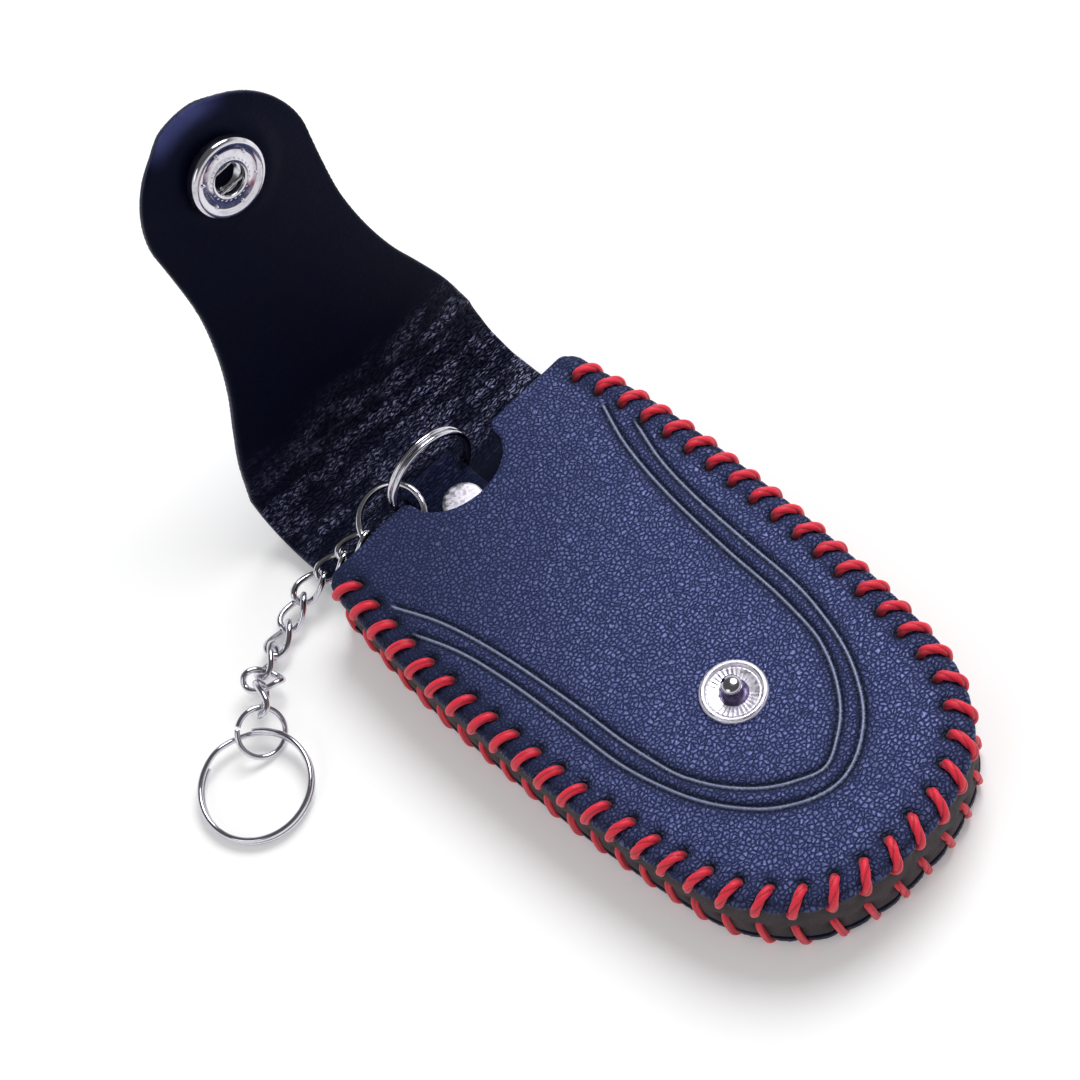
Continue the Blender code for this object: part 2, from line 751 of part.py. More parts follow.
def cap_profile(outside, flare):
    """A domed cap with a hollow shank, flared over at its end."""
    brim = outside - SNAP_PLAY
    bore = SHANK_RADIUS - SHEET
    dome = [(r * CAP_RADIUS, brim - z * CAP_CROWN) for r, z in CAP_SHARES]
    return [
        (0.0, brim),
        (bore, brim),
        (bore, flare + SHEET),
        (SHANK_RADIUS + GAP + SHEET, flare + SHEET),
        (SHANK_RADIUS + GAP + SHEET, flare),
        (SHANK_RADIUS, flare),
        (SHANK_RADIUS, brim),
        (CAP_RADIUS, brim),
        *dome,
    ]


# Rings and chain
def direction(heading, climb):
    """A unit vector from a compass heading and a climb, both in degrees."""
    flat = math.cos(math.radians(climb))
    east = flat * math.cos(math.radians(heading))
    north = flat * math.sin(math.radians(heading))
    return Vector((east, north, math.sin(math.radians(climb))))


def frame(first, second, third, origin):
    """A placement from three axes and an origin."""
    turn = Matrix((first, second, third)).transposed().to_4x4()
    return Matrix.Translation(origin) @ turn


def leaning(origin, lean):
    """The placement of a ring whose axis leans from the vertical, by a tilt and a heading."""
    axis = direction(lean[1], 90 - lean[0])
    first = Vector((0.0, 1.0, 0.0)).cross(axis).normalized()
    return frame(first, axis.cross(first), axis, origin)


def rolled(origin, heading, climb, roll):
    """The placement of a link that points along a heading and climb, and is rolled."""
    along = direction(heading, climb)
    level = Vector((0.0, 0.0, 1.0)).cross(along).normalized()
    turn = Matrix.Rotation(math.radians(roll), 3, along)
    side = turn @ level
    return frame(along, side, along.cross(side), origin)


def on_ring(place, radius, angle):
    """The point and the direction of a ring's wire at an angle."""
    turn = math.radians(angle)
    point = place @ Vector((radius * math.cos(turn), radius * math.sin(turn), 0.0))
    return point, place.to_3x3() @ Vector((-math.sin(turn), math.cos(turn), 0.0))


def split_coil(radius, turn):
    """Two flat turns of wire side by side, with the jog from one to the other."""
    first = 360 - END_ANGLE - JOG_ANGLE
    last = 360 + first - END_ANGLE
    step = 360 / COIL_STEPS
    count = round(last / step)
    points = []
    for i in range(count + 1):
        angle = last * i / count
        share = min(max((angle - first) / JOG_ANGLE, 0.0), 1.0)
        height = COIL_SPACING * (share * share * (3 - 2 * share) - 0.5)
        bearing = math.radians(angle + turn)
        points.append(Vector((radius * math.cos(bearing), radius * math.sin(bearing), height)))
    return points


def jump_loop(radius, slit):
    """One turn of wire with a slit between its ends, at an angle."""
    half = math.degrees(JUMP_SLIT / 2 / radius)
    bent = arc(Vector((0.0, 0.0)), radius, slit + half, slit + 360 - half, JUMP_STEPS)
    return [Vector((point.x, point.y, 0.0)) for point in bent]


def link_loop():
    """One link's wire."""
    points = []
    for step in range(LINK_STEPS):
        angle = math.tau * step / LINK_STEPS
        along = math.copysign(abs(math.cos(angle)) ** LINK_SQUARENESS, math.cos(angle))
        across = math.copysign(abs(math.sin(angle)) ** LINK_SQUARENESS, math.sin(angle))
        twist = math.radians(LINK_TWIST) * along
        side = LINK_SIDE * across
        place = (LINK_HALF * along, side * math.cos(twist), side * math.sin(twist))
        points.append(Vector(place))
    return points


def link_end(place):
    """The far end of a link's wire and its direction there."""
    twist = math.radians(LINK_TWIST)
    tangent = place.to_3x3() @ Vector((0.0, math.cos(twist), math.sin(twist)))
    return place @ Vector((LINK_HALF, 0.0, 0.0)), tangent


def hinge_at(name, pivot, parent):
    """A joint at a point of a wire, about the wire's direction."""
    point, axis = pivot
    first = axis.normalized()
    second = Vector((0.0, 0.0, 1.0)).cross(first).normalized()
    return joint_empty(name, frame(first, second, first.cross(second), point), parent)


def rings_and_chain():
    """The strap's ring, the jump ring on it, the chain, and the rings at its end."""
    centre = Vector((
        -STRAP_SIDE + STRAP_RING_SHARES[0] * STRAP_RING_RADIUS,
        MOUTH + STRAP_RING_SHARES[1] * STRAP_RING_RADIUS,
        STRAP_LOW + STRAP_LEATHER / 2 + GAP + RING_WIRE + STRAP_RING_RADIUS,
    ))
    upright = Matrix.Translation(centre) @ Matrix.Rotation(math.radians(90), 4, "X")
    hinge = hinge_at("strap_ring_hinge", on_ring(upright, STRAP_RING_RADIUS, -90), None)
    points = split_coil(STRAP_RING_RADIUS, STRAP_RING_TURN)
    print_least_gap("strap_ring", points, RING_WIRE)
    wire_piece("strap_ring", points, RING_WIRE, upright, hinge)

    hang = on_ring(upright, STRAP_RING_RADIUS, CHAIN_RING_HANG)
    shift = CHAIN_RING_RADIUS * Vector(CHAIN_RING_SHARES)
    lying = leaning(hang[0] + shift, CHAIN_RING_LEAN)
    hinge = hinge_at("chain_ring_hinge", hang, hinge)
    points = jump_loop(CHAIN_RING_RADIUS, CHAIN_RING_SLIT)
    wire_piece("chain_ring", points, CHAIN_RING_WIRE, lying, hinge)

    place, hinge = chain(on_ring(lying, CHAIN_RING_RADIUS, CHAIN_START), hinge)

    share, heading, climb = END_RING_LAY
    near = place.translation + share * LINK_PITCH * direction(heading, climb)
    turned_ring = leaning(Vector((0.0, 0.0, 0.0)), END_RING_LEAN)
    start = on_ring(turned_ring, END_RING_RADIUS, END_RING_START)[0]
    ring = leaning(near - start, END_RING_LEAN)
    hinge = hinge_at("end_ring_hinge", link_end(place), hinge)
    points = jump_loop(END_RING_RADIUS, END_RING_SLIT)
    wire_piece("end_ring", points, END_RING_WIRE, ring, hinge)

    inside = ring.translation + END_RING_RADIUS * Vector(KEY_RING_SHARES)
    turned_ring = leaning(Vector((0.0, 0.0, 0.0)), KEY_RING_LEAN)
    start, tangent = on_ring(turned_ring, KEY_RING_RADIUS, KEY_RING_START)
    hinge = hinge_at("key_ring_hinge", (inside, tangent), hinge)
    points = split_coil(KEY_RING_RADIUS, KEY_RING_TURN)
    print_least_gap("key_ring", points, RING_WIRE)
    wire_piece("key_ring", points, RING_WIRE, leaning(inside - start, KEY_RING_LEAN), hinge)


def chain(start, hinge):
    """The links, one after another, and where the last one is."""
    middle = start[0]
    pivot = start
    for number, lay in enumerate(CHAIN_LAY_SHARES, 1):
        middle = middle + lay[0] * LINK_PITCH * direction(lay[1], lay[2])
        place = rolled(middle, *lay[3:])
        hinge = hinge_at(f"chain_link_{number}_hinge", pivot, hinge)
        wire_piece(f"chain_link_{number}", link_loop(), LINK_WIRE, place, hinge, True)
        pivot = link_end(place)
        if number == len(CHAIN_LAY_SHARES) - 1:
            side = place @ Vector((0.0, -LINK_SIDE, 0.0))
            pivot = (side, place.to_3x3() @ Vector((1.0, 0.0, 0.0)))
    return place, hinge


def wire_piece(name, points, radius, place, hinge, closed=False):
    """A ring or link of nickel-plated wire, hung on its joint."""
    finish = nickel(name.replace("_", " ").capitalize() + " nickel")
    put(tube(name, points, radius, WIRE_SIDE_STEPS, finish, closed), place, hinge)


PARTS = None
TOOLS = None


def main():
    """Build the key cover."""
    global PARTS, TOOLS
    clear_scene()
    PARTS = new_collection("key_cover")
    TOOLS = new_collection("cutters")
    seam = Seam()
    front_panel(seam)
    back_panel(seam)
    gusset(seam)
    red = material("Red thread", (0.75, 0.02, 0.05), 0.35)
    lift = GAP + THREAD_RADIUS
    whip_stitches("front_seam_thread", seam, FRONT_HIGH + lift, FRONT_ENTRY, red)
    whip_stitches("back_seam_thread", seam, BACK_LOW - lift, BACK_ENTRY, red)
    strap()
    strap_rivet()
    snap_stud()
    snap_eyelet()
    root = panel_side(seam)[0].x
    hinge = joint_empty("flap_hinge", flap_frame())
    flap_bend(root, hinge)
    flap(root, hinge)
    flap_snap(hinge)
    rings_and_chain()


main()
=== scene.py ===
"""Leather, thread and metal of a key cover: a stitched pouch with a snap flap and a chain.

The pouch lies on its back with its mouth at +Y. Lengths are in metres.
"""

import json
import math

import bmesh
import bpy
import numpy as np
from mathutils import Matrix, Vector, kdtree

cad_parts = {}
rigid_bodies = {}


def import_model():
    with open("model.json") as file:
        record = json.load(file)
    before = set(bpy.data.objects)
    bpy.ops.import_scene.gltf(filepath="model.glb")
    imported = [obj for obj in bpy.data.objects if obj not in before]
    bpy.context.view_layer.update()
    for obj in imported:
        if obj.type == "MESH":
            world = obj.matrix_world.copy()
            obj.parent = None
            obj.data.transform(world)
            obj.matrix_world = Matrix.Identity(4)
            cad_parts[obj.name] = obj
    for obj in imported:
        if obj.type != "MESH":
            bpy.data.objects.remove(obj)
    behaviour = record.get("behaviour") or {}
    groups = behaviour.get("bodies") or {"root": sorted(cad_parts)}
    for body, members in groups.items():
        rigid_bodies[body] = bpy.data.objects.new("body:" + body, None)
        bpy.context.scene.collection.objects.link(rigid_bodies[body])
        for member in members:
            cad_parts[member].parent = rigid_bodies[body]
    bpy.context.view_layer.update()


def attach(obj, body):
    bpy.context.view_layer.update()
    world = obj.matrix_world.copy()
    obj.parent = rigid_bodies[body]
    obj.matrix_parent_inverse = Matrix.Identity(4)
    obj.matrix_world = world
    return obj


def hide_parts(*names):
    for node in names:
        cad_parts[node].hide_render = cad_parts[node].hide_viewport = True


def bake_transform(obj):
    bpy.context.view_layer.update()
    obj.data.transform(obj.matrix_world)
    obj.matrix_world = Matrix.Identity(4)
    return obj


bl_info = {
    "name": "Key cover",
    "version": (1, 0, 0),
    "blender": (4, 5, 0),
    "location": "3D View > Sidebar > Key cover",
    "description": "Builds a stitched leather key cover with its snap, rings and chain",
    "category": "Add Mesh",
}

for thing in list(bpy.data.objects):
    bpy.data.objects.remove(thing, do_unlink=True)
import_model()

MM = 0.001
GAP = 0.3 * MM
LEATHER = 1.6 * MM

# Stitch line and panels, as the solids have them
SEAM_HALF_WIDTH = 24.7 * MM
SEAM_DEPTH = 51.1 * MM
SEAM_SHARES = (
    (0.0, -1.0), (0.264, -0.992), (0.583, -0.928), (0.805, -0.786), (0.895, -0.614),
    (0.973, -0.253), (1.0, 0.177), (0.985, 0.45), (0.93, 0.70),
)
STITCHES = 46
EDGE_MARGIN = 3.3 * MM
MOUTH = 40.27 * MM
MOUTH_CORNER = 3.0 * MM
NOTCH_HALF_WIDTH = 8.4 * MM
NOTCH_DEPTH = 7.8 * MM
NOTCH_LIP = 1.6 * MM
BACK_LOW = 1.3 * MM
BACK_HIGH = BACK_LOW + LEATHER
GUSSET_LOW = 3.2 * MM
GUSSET_HIGH = 11.6 * MM
GUSSET_WALL = 1.4 * MM
GUSSET_OUT = 2.95 * MM
GUSSET_END = 2.4 * MM
GUSSET_BELOW_MOUTH = 1.9 * MM
GUSSET_HOLE_WIDTH = 1.0 * MM
FRONT_LOW = 11.9 * MM
FRONT_HIGH = FRONT_LOW + LEATHER

# Holes in the gusset for the front's and the back's thread: share of a stitch, and height
GUSSET_HOLE_SHARES = ((0.42, 10.9 * MM), (0.44, 6.0 * MM))

# Cut edges and relief of the leather
EDGE_ROWS = (0.12 * MM, 0.22 * MM, 0.3 * MM)
FRONT_ROUNDING = 0.55 * MM
BACK_CELL = 0.9 * MM
BACK_ROUNDING = 0.5 * MM
CROWN_RUN = 9 * MM
UNEVEN = 0.10 * MM
GROOVE_WIDTH = 0.95 * MM
GROOVE_PULL = 0.55 * MM
HOLE_INSET = 0.45 * MM
THREAD_SLANT = 0.10
EDGE_DROP = 0.80 * MM
EDGE_ROLL = 0.12 * MM
EDGE_LINE_OUT = 2.45 * MM
EDGE_LINE_WIDTH = 0.26 * MM
EDGE_LINE_DEPTH = 0.20 * MM
LINE_RISE = 0.16 * MM
LINE_GAP = 1.4 * MM
DIMPLE_WIDTH = 1.05 * MM
WAVE = 0.12 * MM
FOLD_DEPTH = 0.10 * MM
SEAT_DEPTH = 0.35 * MM
SEAT_RADIUS = 6.8 * MM
SEAT_RIM_RADIUS = 8.0 * MM
RIM_CURL = 1.1 * MM
EDGE_PULL = 0.22 * MM
STITCH_PULL = 0.45 * MM

# How near the embossed lines, and how near the stitch holes, the front's faces are divided: first and again
FINE_REACH = ((1.5 * MM, 1.9 * MM), (1.0 * MM, 0.0))

# The embossed double line on the front, as shares of the stitch line's half width and depth
INNER_LINE_SHARES = (
    (0.0, -0.732), (0.174, -0.697), (0.324, -0.642), (0.449, -0.566), (0.534, -0.487),
    (0.583, -0.411), (0.623, -0.256), (0.644, -0.059), (0.696, 0.205), (0.777, 0.411), (0.9, 0.577),
)
OUTER_LINE_SHARES = (
    (0.0, -0.791), (0.182, -0.769), (0.364, -0.71), (0.498, -0.632), (0.607, -0.536),
    (0.684, -0.421), (0.737, -0.284), (0.757, -0.078), (0.785, 0.127), (0.838, 0.301),
    (0.94, 0.462),
)

# Flap
HINGE = Vector((0.0, MOUTH + 3.1 * MM, BACK_LOW + LEATHER / 2))
FLAP_LEAN = math.radians(78.4)
BEND_RADIUS = 10.0 * MM
FLAP_OFFSET = 16.1 * MM
FLAP_LENGTH = 62.8 * MM
FLAP_NARROW_SHARES = (
    (0.0, 1.0), (0.11, 0.93), (0.20, 0.84), (0.30, 0.73), (0.40, 0.655), (0.50, 0.61),
    (0.58, 0.598), (0.68, 0.61),
)
FLAP_TIP_RADIUS = 14.6 * MM
FLAT_RUN = (FLAP_OFFSET - BEND_RADIUS * (1 - math.cos(FLAP_LEAN))) / math.sin(FLAP_LEAN)
FLAP_START = (FLAT_RUN + BEND_RADIUS * math.sin(FLAP_LEAN)) * math.cos(FLAP_LEAN) + (
    BEND_RADIUS * (1 - math.cos(FLAP_LEAN)) * math.sin(FLAP_LEAN)
)
BEND_FIRST = HINGE.y + FLAT_RUN
BEND_LAST = BEND_FIRST + BEND_RADIUS * FLAP_LEAN
SNAP_FROM_TIP = 10.89 * MM
SNAP_REACH = FLAP_START + FLAP_LENGTH - SNAP_FROM_TIP

# Snap
STUD_Y = HINGE.y - SNAP_REACH
STUD_RADIUS = 5.0 * MM
STUD_HEIGHT = 1.2 * MM
STUD_FLOOR = 0.55 * MM
SOCKET_RADIUS = 6.2 * MM
SOCKET_HEIGHT = 2.4 * MM
SOCKET_MOUTH = 2.5 * MM
CAP_RADIUS = 6.4 * MM
CAP_CROWN = 1.5 * MM
SHANK_RADIUS = 2.6 * MM
SHEET = 0.35 * MM
SPRING_WIRE = 0.25 * MM
SPRING_LENGTH = 8.4 * MM
SPRING_HALF_WIDTH = 1.65 * MM
SPRING_LIFT = 0.45 * MM
SNAP_GAP = 0.15 * MM
BALL_RADIUS = 1.75 * MM
BALL_HEIGHT = 2.7 * MM
BALL_SHARES = (
    (0.0, 1.0), (0.3, 0.985), (0.55, 0.94), (0.76, 0.86), (0.86, 0.78), (0.88, 0.70),
    (0.84, 0.61), (0.74, 0.53), (0.68, 0.45), (0.68, 0.10),
)
RECESS_RADIUS = 2.2 * MM
DISH_WIDTH = 1.7 * MM
DISH_RISE = 0.30 * MM
RIB_DEPTH = 0.035 * MM
SOCKET_BEADS = ((3.2 * MM, 26, 0.19 * MM), (4.4 * MM, 6, 0.28 * MM))
EYELET_BARREL = 2.0 * MM
EYELET_RADIUS = 4.6 * MM

# Strap and rivet
STRAP_WIDTH = 9.8 * MM
STRAP_X = -2.3 * MM
STRAP_LEATHER = 1.2 * MM
STRAP_CORNER = 1.2 * MM
STRAP_CELL = 0.6 * MM
STRAP_ROWS = (0.1 * MM, 0.18 * MM, 0.25 * MM)
STRAP_ROUNDING = 0.4 * MM
STRAP_PRESS = 0.18 * MM
STRAP_TAIL = 30.0 * MM
STRAP_FOLD = MOUTH + 2.2 * MM
FOLD_RADIUS = 2.65 * MM
STRAP_LOW = BACK_HIGH + GAP + STRAP_LEATHER / 2
STRAP_TOP_SHARES = ((0.02, 1.0), (0.3, 1.0), (0.45, 0.93), (0.7, 0.4), (0.85, 0.285), (1.0, 0.285))
STRAP_BOTTOM_SHARES = (
    (1.0, 0.0), (0.85, 0.0), (0.7, 0.115), (0.45, 0.63), (0.36, 0.7), (0.2, 0.7), (0.155, 0.62),
    (0.135, 0.34), (0.12, 0.1), (0.085, 0.0), (0.03, 0.0),
)
RIVET_Y = MOUTH - 5.0 * MM
RIVET_RADIUS = 3.3 * MM
RIVET_HEAD = 0.8 * MM
RIVET_POST = 1.2 * MM
RIVET_CAP_RADIUS = 1.9 * MM

# Rings and chain: angles in degrees, leans as a tilt and its heading, shares of the ring's radius
WIRE_SEGMENTS = 5
RING_WIRE = 0.45 * MM
COIL_SPACING = 0.98 * MM
JOG_ANGLE = 36
END_ANGLE = 12
STRAP_RING_RADIUS = 7.4 * MM
STRAP_RING_SHARES = (-0.054, 0.186)
STRAP_RING_TURN = -120
CHAIN_RING_RADIUS = 5.3 * MM
CHAIN_RING_WIRE = 0.5 * MM
CHAIN_RING_HANG = 195
CHAIN_RING_SHARES = (-0.276, 0.015, -0.023)
CHAIN_RING_LEAN = (19.9, -154.2)
CHAIN_RING_SLIT = -75
JUMP_SLIT = 0.35 * MM
CHAIN_START = 157.5
END_RING_RADIUS = 3.7 * MM
END_RING_LAY = (0.36, -133.1, 15.0)
END_RING_LEAN = (44.4, -86.8)
END_RING_START = 51.3
END_RING_SLIT = 130
KEY_RING_RADIUS = 8.5 * MM
KEY_RING_SHARES = (0.076, 0.062, -0.128)
KEY_RING_LEAN = (5.9, -145.8)
KEY_RING_START = 39.9
KEY_RING_TURN = 110
LINK_LENGTH = 7.0 * MM
LINK_WIDTH = 4.6 * MM
LINK_WIRE = 0.5 * MM
LINK_TWIST = -45
LINK_SQUARENESS = 0.86
LINK_PITCH = 4.7 * MM

# Each link: its step as a share of the pitch, the step's heading and climb, and its heading, climb and roll
CHAIN_LAY_SHARES = (
    (0.405, 164.1, -26.4, 162, -25, 11), (1.025, 163.4, -25.6, 162, -27, 4),
    (1.028, 164.3, -22.7, 171, -16, -2), (0.969, -174.2, -17.6, -165, -11, 16),
    (0.980, -162.5, -6.8, -156, 6, 25), (0.944, -154.3, 9.3, -150, 10, 64),
    (0.756, -141.4, 12.6, -46, -6, -11), (0.751, -131.3, 11.0, -125, 13, 77),
)

# Camera, found from the picture: its axes to the right, down and forward, and the pouch's place on them
CAMERA_RIGHT = (0.7011, -0.6815, -0.2099)
CAMERA_DOWN = (-0.68, -0.5503, -0.4845)
CAMERA_FORWARD = (0.2147, 0.4824, -0.8492)
CAMERA_SHIFT = (13.556 * MM, 10.569 * MM, 428.865 * MM)
FLOOR_HALF_WIDTH = 4.0

# Room that metal mirrors: how steep a look finds it white, how steep dark, and how dark
ROOM_SHARES = (0.12, 0.62, 0.10)
FLOOR_GLOW = 0.14

# Each lamp's name, place, size and share of the key light's power
LAMP_SHARES = (
    ("Key light", (0.36, 0.14, 0.58), 0.42, 1.0),
    ("Fill light", (-0.65, -0.10, 0.55), 0.45, 0.2),
)


# Settings
def length(name, description, default):
    """A length that a user may change."""
    return bpy.props.FloatProperty(
        name=name, description=description, default=default, min=0.0, unit="LENGTH", precision=5
    )


def colour(name, description, default):
    """A colour that a user may change."""
    return bpy.props.FloatVectorProperty(
        name=name, description=description, default=default, size=3, min=0, max=1, subtype="COLOR"
    )


def share(name, description, default):
    """A share that a user may change."""
    return bpy.props.FloatProperty(
        name=name, description=description, default=default, min=0.0, max=4.0, subtype="FACTOR"
    )


class KeyCoverLeather(bpy.types.PropertyGroup):
    """Leather of the pouch, flap and strap."""

    # The grain's tone: pebble tops painted lighter as a highlight, the navy between them dark as painted
    # shade
    navy: colour("Grained navy", "Colour between the outer leather's pebbles", (0.004, 0.009, 0.068))
    pebble_and_highlight: colour("Pebbles", "Colour on top of the pebbles", (0.195, 0.226, 0.530))
    # Ridges: the polished embossed ridges, painted lighter as a highlight
    ridge_highlight: colour("Ridges", "Colour of the polished embossed ridges", (0.330, 0.370, 0.560))
    lining: colour("Lining", "Colour of the flap's inner face", (0.0006, 0.0009, 0.0065))
    # Creases: pale flecks on the crease tops at the flap's root, painted highlights
    crease_and_highlight: colour("Creases", "Colour of the creases at the flap's root", (0.400, 0.410, 0.680))
    # Rim: the curled rim at the flap's tip, painted lighter as a highlight
    curled_rim_highlight: colour("Rim", "Colour of the curled rim at the flap's tip", (0.050, 0.056, 0.170))
    side: colour("Gusset", "Colour of the side wall", (0.038, 0.027, 0.032))
    strap: colour("Strap", "Colour of the strap", (0.007, 0.009, 0.028))
    # Strap creases: pale flecks on the strap's fold, painted highlights
    strap_crease_highlight: colour("Strap creases", "Colour of the strap's worn fold", (0.045, 0.052, 0.13))
    edge: colour("Edge paint", "Colour of the cut edges", (0.010, 0.013, 0.035))
    grain: length("Grain depth", "Depth of the pebbled grain", 0.19 * MM)
    crown: length("Crown", "How far the front swells", 0.45 * MM)
    emboss: length("Emboss", "Depth of the embossed double line", 0.8 * MM)
    pucker: length("Pucker", "Depth of the leather at each stitch", 0.85 * MM)
    cell: length("Cell", "Size of the faces on the front", 0.6 * MM)


class KeyCoverThread(bpy.types.PropertyGroup):
    """Waxed red thread."""

    red: colour("Red", "Colour of the thread", (0.80, 0.007, 0.036))
    # Fibres: lighter flecks on the thread, painted glints
    fibre_and_glint: colour("Fibres", "Colour of the thread's fine fibres", (0.95, 0.045, 0.11))
    width: length("Width", "Width of the thread", 1.42 * MM)
    lay: length("Lay", "Length of one turn of the strands", 7.0 * MM)


class KeyCoverMetal(bpy.types.PropertyGroup):
    """Nickel plate and spring steel."""

    nickel: colour("Nickel", "Colour of the plate", (0.66, 0.65, 0.71))
    # The stud's and the rivet's plate: a lighter copy of the nickel, painted bright as a highlight
    bright: colour("Nickel with painted highlight", "Colour of the stud's and the rivet's plate", (0.93, 0.90, 1.0))
    steel: colour("Steel", "Colour of the spring wire", (0.60, 0.60, 0.63))
    # Recess: the ring round the stud's ball, painted dark as shade
    recess: colour("Recess", "Colour of the dark ring round the stud's ball", (0.17, 0.14, 0.26))
    roughness: share("Roughness", "Roughness of the plate", 0.13)
    serrations: bpy.props.IntProperty(
        name="Serrations", description="Ribs round the stud", default=32, min=0, max=90
    )


class KeyCoverStage(bpy.types.PropertyGroup):
    """Floor, light and camera."""

    floor: colour("Floor", "Colour of the floor", (0.93, 0.93, 0.93))
    light: share("Light", "Strength of the surrounding light", 0.46)
    key: bpy.props.FloatProperty(
        name="Key light", description="Power of the main lamp", default=3.4, min=0.0, unit="POWER"
    )
    lens: bpy.props.FloatProperty(
        name="Lens", description="Focal length", default=100.0, min=10.0, unit="CAMERA"
    )


# Lines
def smooth(knots, steps):
    """Points along a smooth curve through the knots."""
    knots = [Vector(knot) for knot in knots]
    padded = [2 * knots[0] - knots[1], *knots, 2 * knots[-1] - knots[-2]]
    curve = []
    for a, b, c, d in zip(padded, padded[1:], padded[2:], padded[3:]):
        for step in range(steps):
            t = step / steps
            bend = (2 * a - 5 * b + 4 * c - d) * t * t + (3 * b - a - 3 * c + d) * t ** 3
            curve.append((2 * b + (c - a) * t + bend) / 2)
    curve.append(knots[-1])
    return curve


def arc(centre, radius, start, end, steps):
    """Points along an arc, its angles in degrees."""
    points = []
    for step in range(steps + 1):
        angle = math.radians(start + (end - start) * step / steps)
        points.append(Vector(centre) + radius * Vector((math.cos(angle), math.sin(angle))))
    return points


def mirrored(shares, width, depth):
    """Knots of a U from the shares of its right half, listed from the bottom up."""
    half = [Vector((x * width, y * depth)) for x, y in shares]
    return list(reversed(half)) + [Vector((-point.x, point.y)) for point in half[1:]]


class Line:
    """A flat line with its lengths and the directions to its left."""

    def __init__(self, points):
        self.points = np.array([tuple(point) for point in points])
        self.runs = np.diff(self.points, axis=0)
        self.steps = np.linalg.norm(self.runs, axis=1)
        self.lengths = np.concatenate([[0.0], np.cumsum(self.steps)])
        ways = self.runs / self.steps[:, None]
        ways = np.vstack([ways[:1], ways[:-1] + ways[1:], ways[-1:]])
        ways /= np.linalg.norm(ways, axis=1)[:, None]
        self.normals = np.column_stack([-ways[:, 1], ways[:, 0]])

    def at(self, distance, out=0.0):
        """Places at distances along the line, moved to its left."""
        found = [np.interp(distance, self.lengths, self.points[:, i]) for i in (0, 1)]
        normal = [np.interp(distance, self.lengths, self.normals[:, i]) for i in (0, 1)]
        return np.stack([found[i] + out * normal[i] for i in (0, 1)], -1)

    def outwards(self, distance):
        """The directions to the line's left."""
        return self.at(distance, 1.0) - self.at(distance)
    def nearest(self, places):
        """How far along the line, and how far to its left, each place is."""
        along, out = np.empty(len(places)), np.empty(len(places))
        size = self.steps ** 2
        for block in np.array_split(np.arange(len(places)), len(places) // 4000 + 1):
            to = places[block, None, :] - self.points[None, :-1]
            part = np.clip((to * self.runs).sum(2) / size, 0, 1)
            away = to - part[..., None] * self.runs
            distance = (away ** 2).sum(2)
            best = distance.argmin(1)
            rows = np.arange(len(block))
            along[block] = self.lengths[best] + part[rows, best] * self.steps[best]
            run = self.runs[best]
            side = run[:, 0] * away[rows, best, 1] - run[:, 1] * away[rows, best, 0]
            out[block] = np.sqrt(distance[rows, best]) * np.sign(side)
        return along, out


class Seam(Line):
    """The stitch line, from the right end of the mouth to the left one, with straight leads."""

    LEAD = 6 * MM

    def __init__(self):
        core = smooth(mirrored(SEAM_SHARES, SEAM_HALF_WIDTH, SEAM_DEPTH), 10)
        first = core[0] + (core[0] - core[1]).normalized() * self.LEAD
        last = core[-1] + (core[-1] - core[-2]).normalized() * self.LEAD
        super().__init__([first, *core, last])
        self.pitch = (self.lengths[-1] - 2 * self.LEAD) / (STITCHES - 1)

    def stitch(self, number, out=0.0):
        """The place of a stitch, moved outwards."""
        return self.at(self.LEAD + number * self.pitch, out)

    def number(self, along):
        """How many stitches from the first one each place is."""
        return (along - self.LEAD) / self.pitch

    def from_hole(self, along, out, slant=0.0):
        """How far each place is from the nearest stitch's slanting run, and from its hole."""
        number = self.number(along)
        nearest = np.clip(np.round(number - slant), 0, STITCHES - 1)
        return (number - nearest - slant) * self.pitch, np.hypot((number - nearest) * self.pitch, out)

    def from_stitch(self, along, share):
        """How far each place is from the nearest stitch, moved on by a share of a stitch."""
        number = self.number(along) - share
        return (number - np.round(number)) * self.pitch
    def side(self):
        """The panels' edge from the right mouth corner round the bottom to the left one."""
        inner = np.linspace(self.LEAD, self.lengths[-1] - self.LEAD, 420)
        edge = [Vector(place) for place in self.at(inner, EDGE_MARGIN)]
        x, y = edge[0].x - MOUTH_CORNER, MOUTH - MOUTH_CORNER
        right = arc((x, y), MOUTH_CORNER, 90, 0, 10)
        left = arc((-x, y), MOUTH_CORNER, 180, 90, 10)
        return right + edge + left


SEAM = Seam()


def finger_notch():
    """The edge of the finger notch, from left to right."""
    height = MOUTH - NOTCH_LIP
    lip = NOTCH_HALF_WIDTH + NOTCH_LIP
    bottom = []
    for step in range(1, 40):
        angle = math.pi * step / 40
        drop = (NOTCH_DEPTH - NOTCH_LIP) * math.sin(angle)
        bottom.append(Vector((-NOTCH_HALF_WIDTH * math.cos(angle), height - drop)))
    left, right = arc((-lip, height), NOTCH_LIP, 90, 0, 8), arc((lip, height), NOTCH_LIP, 180, 90, 8)
    return left + bottom + right


# Mesh helpers
def finish_object(name, shape, *finishes):
    """Make a smooth-shaded object of a shape, with the finishes that are named."""
    mesh = bpy.data.meshes.new(name)
    shape.to_mesh(mesh)
    shape.free()
    mesh.shade_smooth()
    for kind in finishes:
        mesh.materials.append(finish(kind))
    made = bpy.data.objects.new(name, mesh)
    bpy.context.scene.collection.objects.link(made)
    return made


def stands_for(thing, body, node):
    """Let a piece ride on a body in the place of its solid."""
    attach(thing, body)
    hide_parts(node)


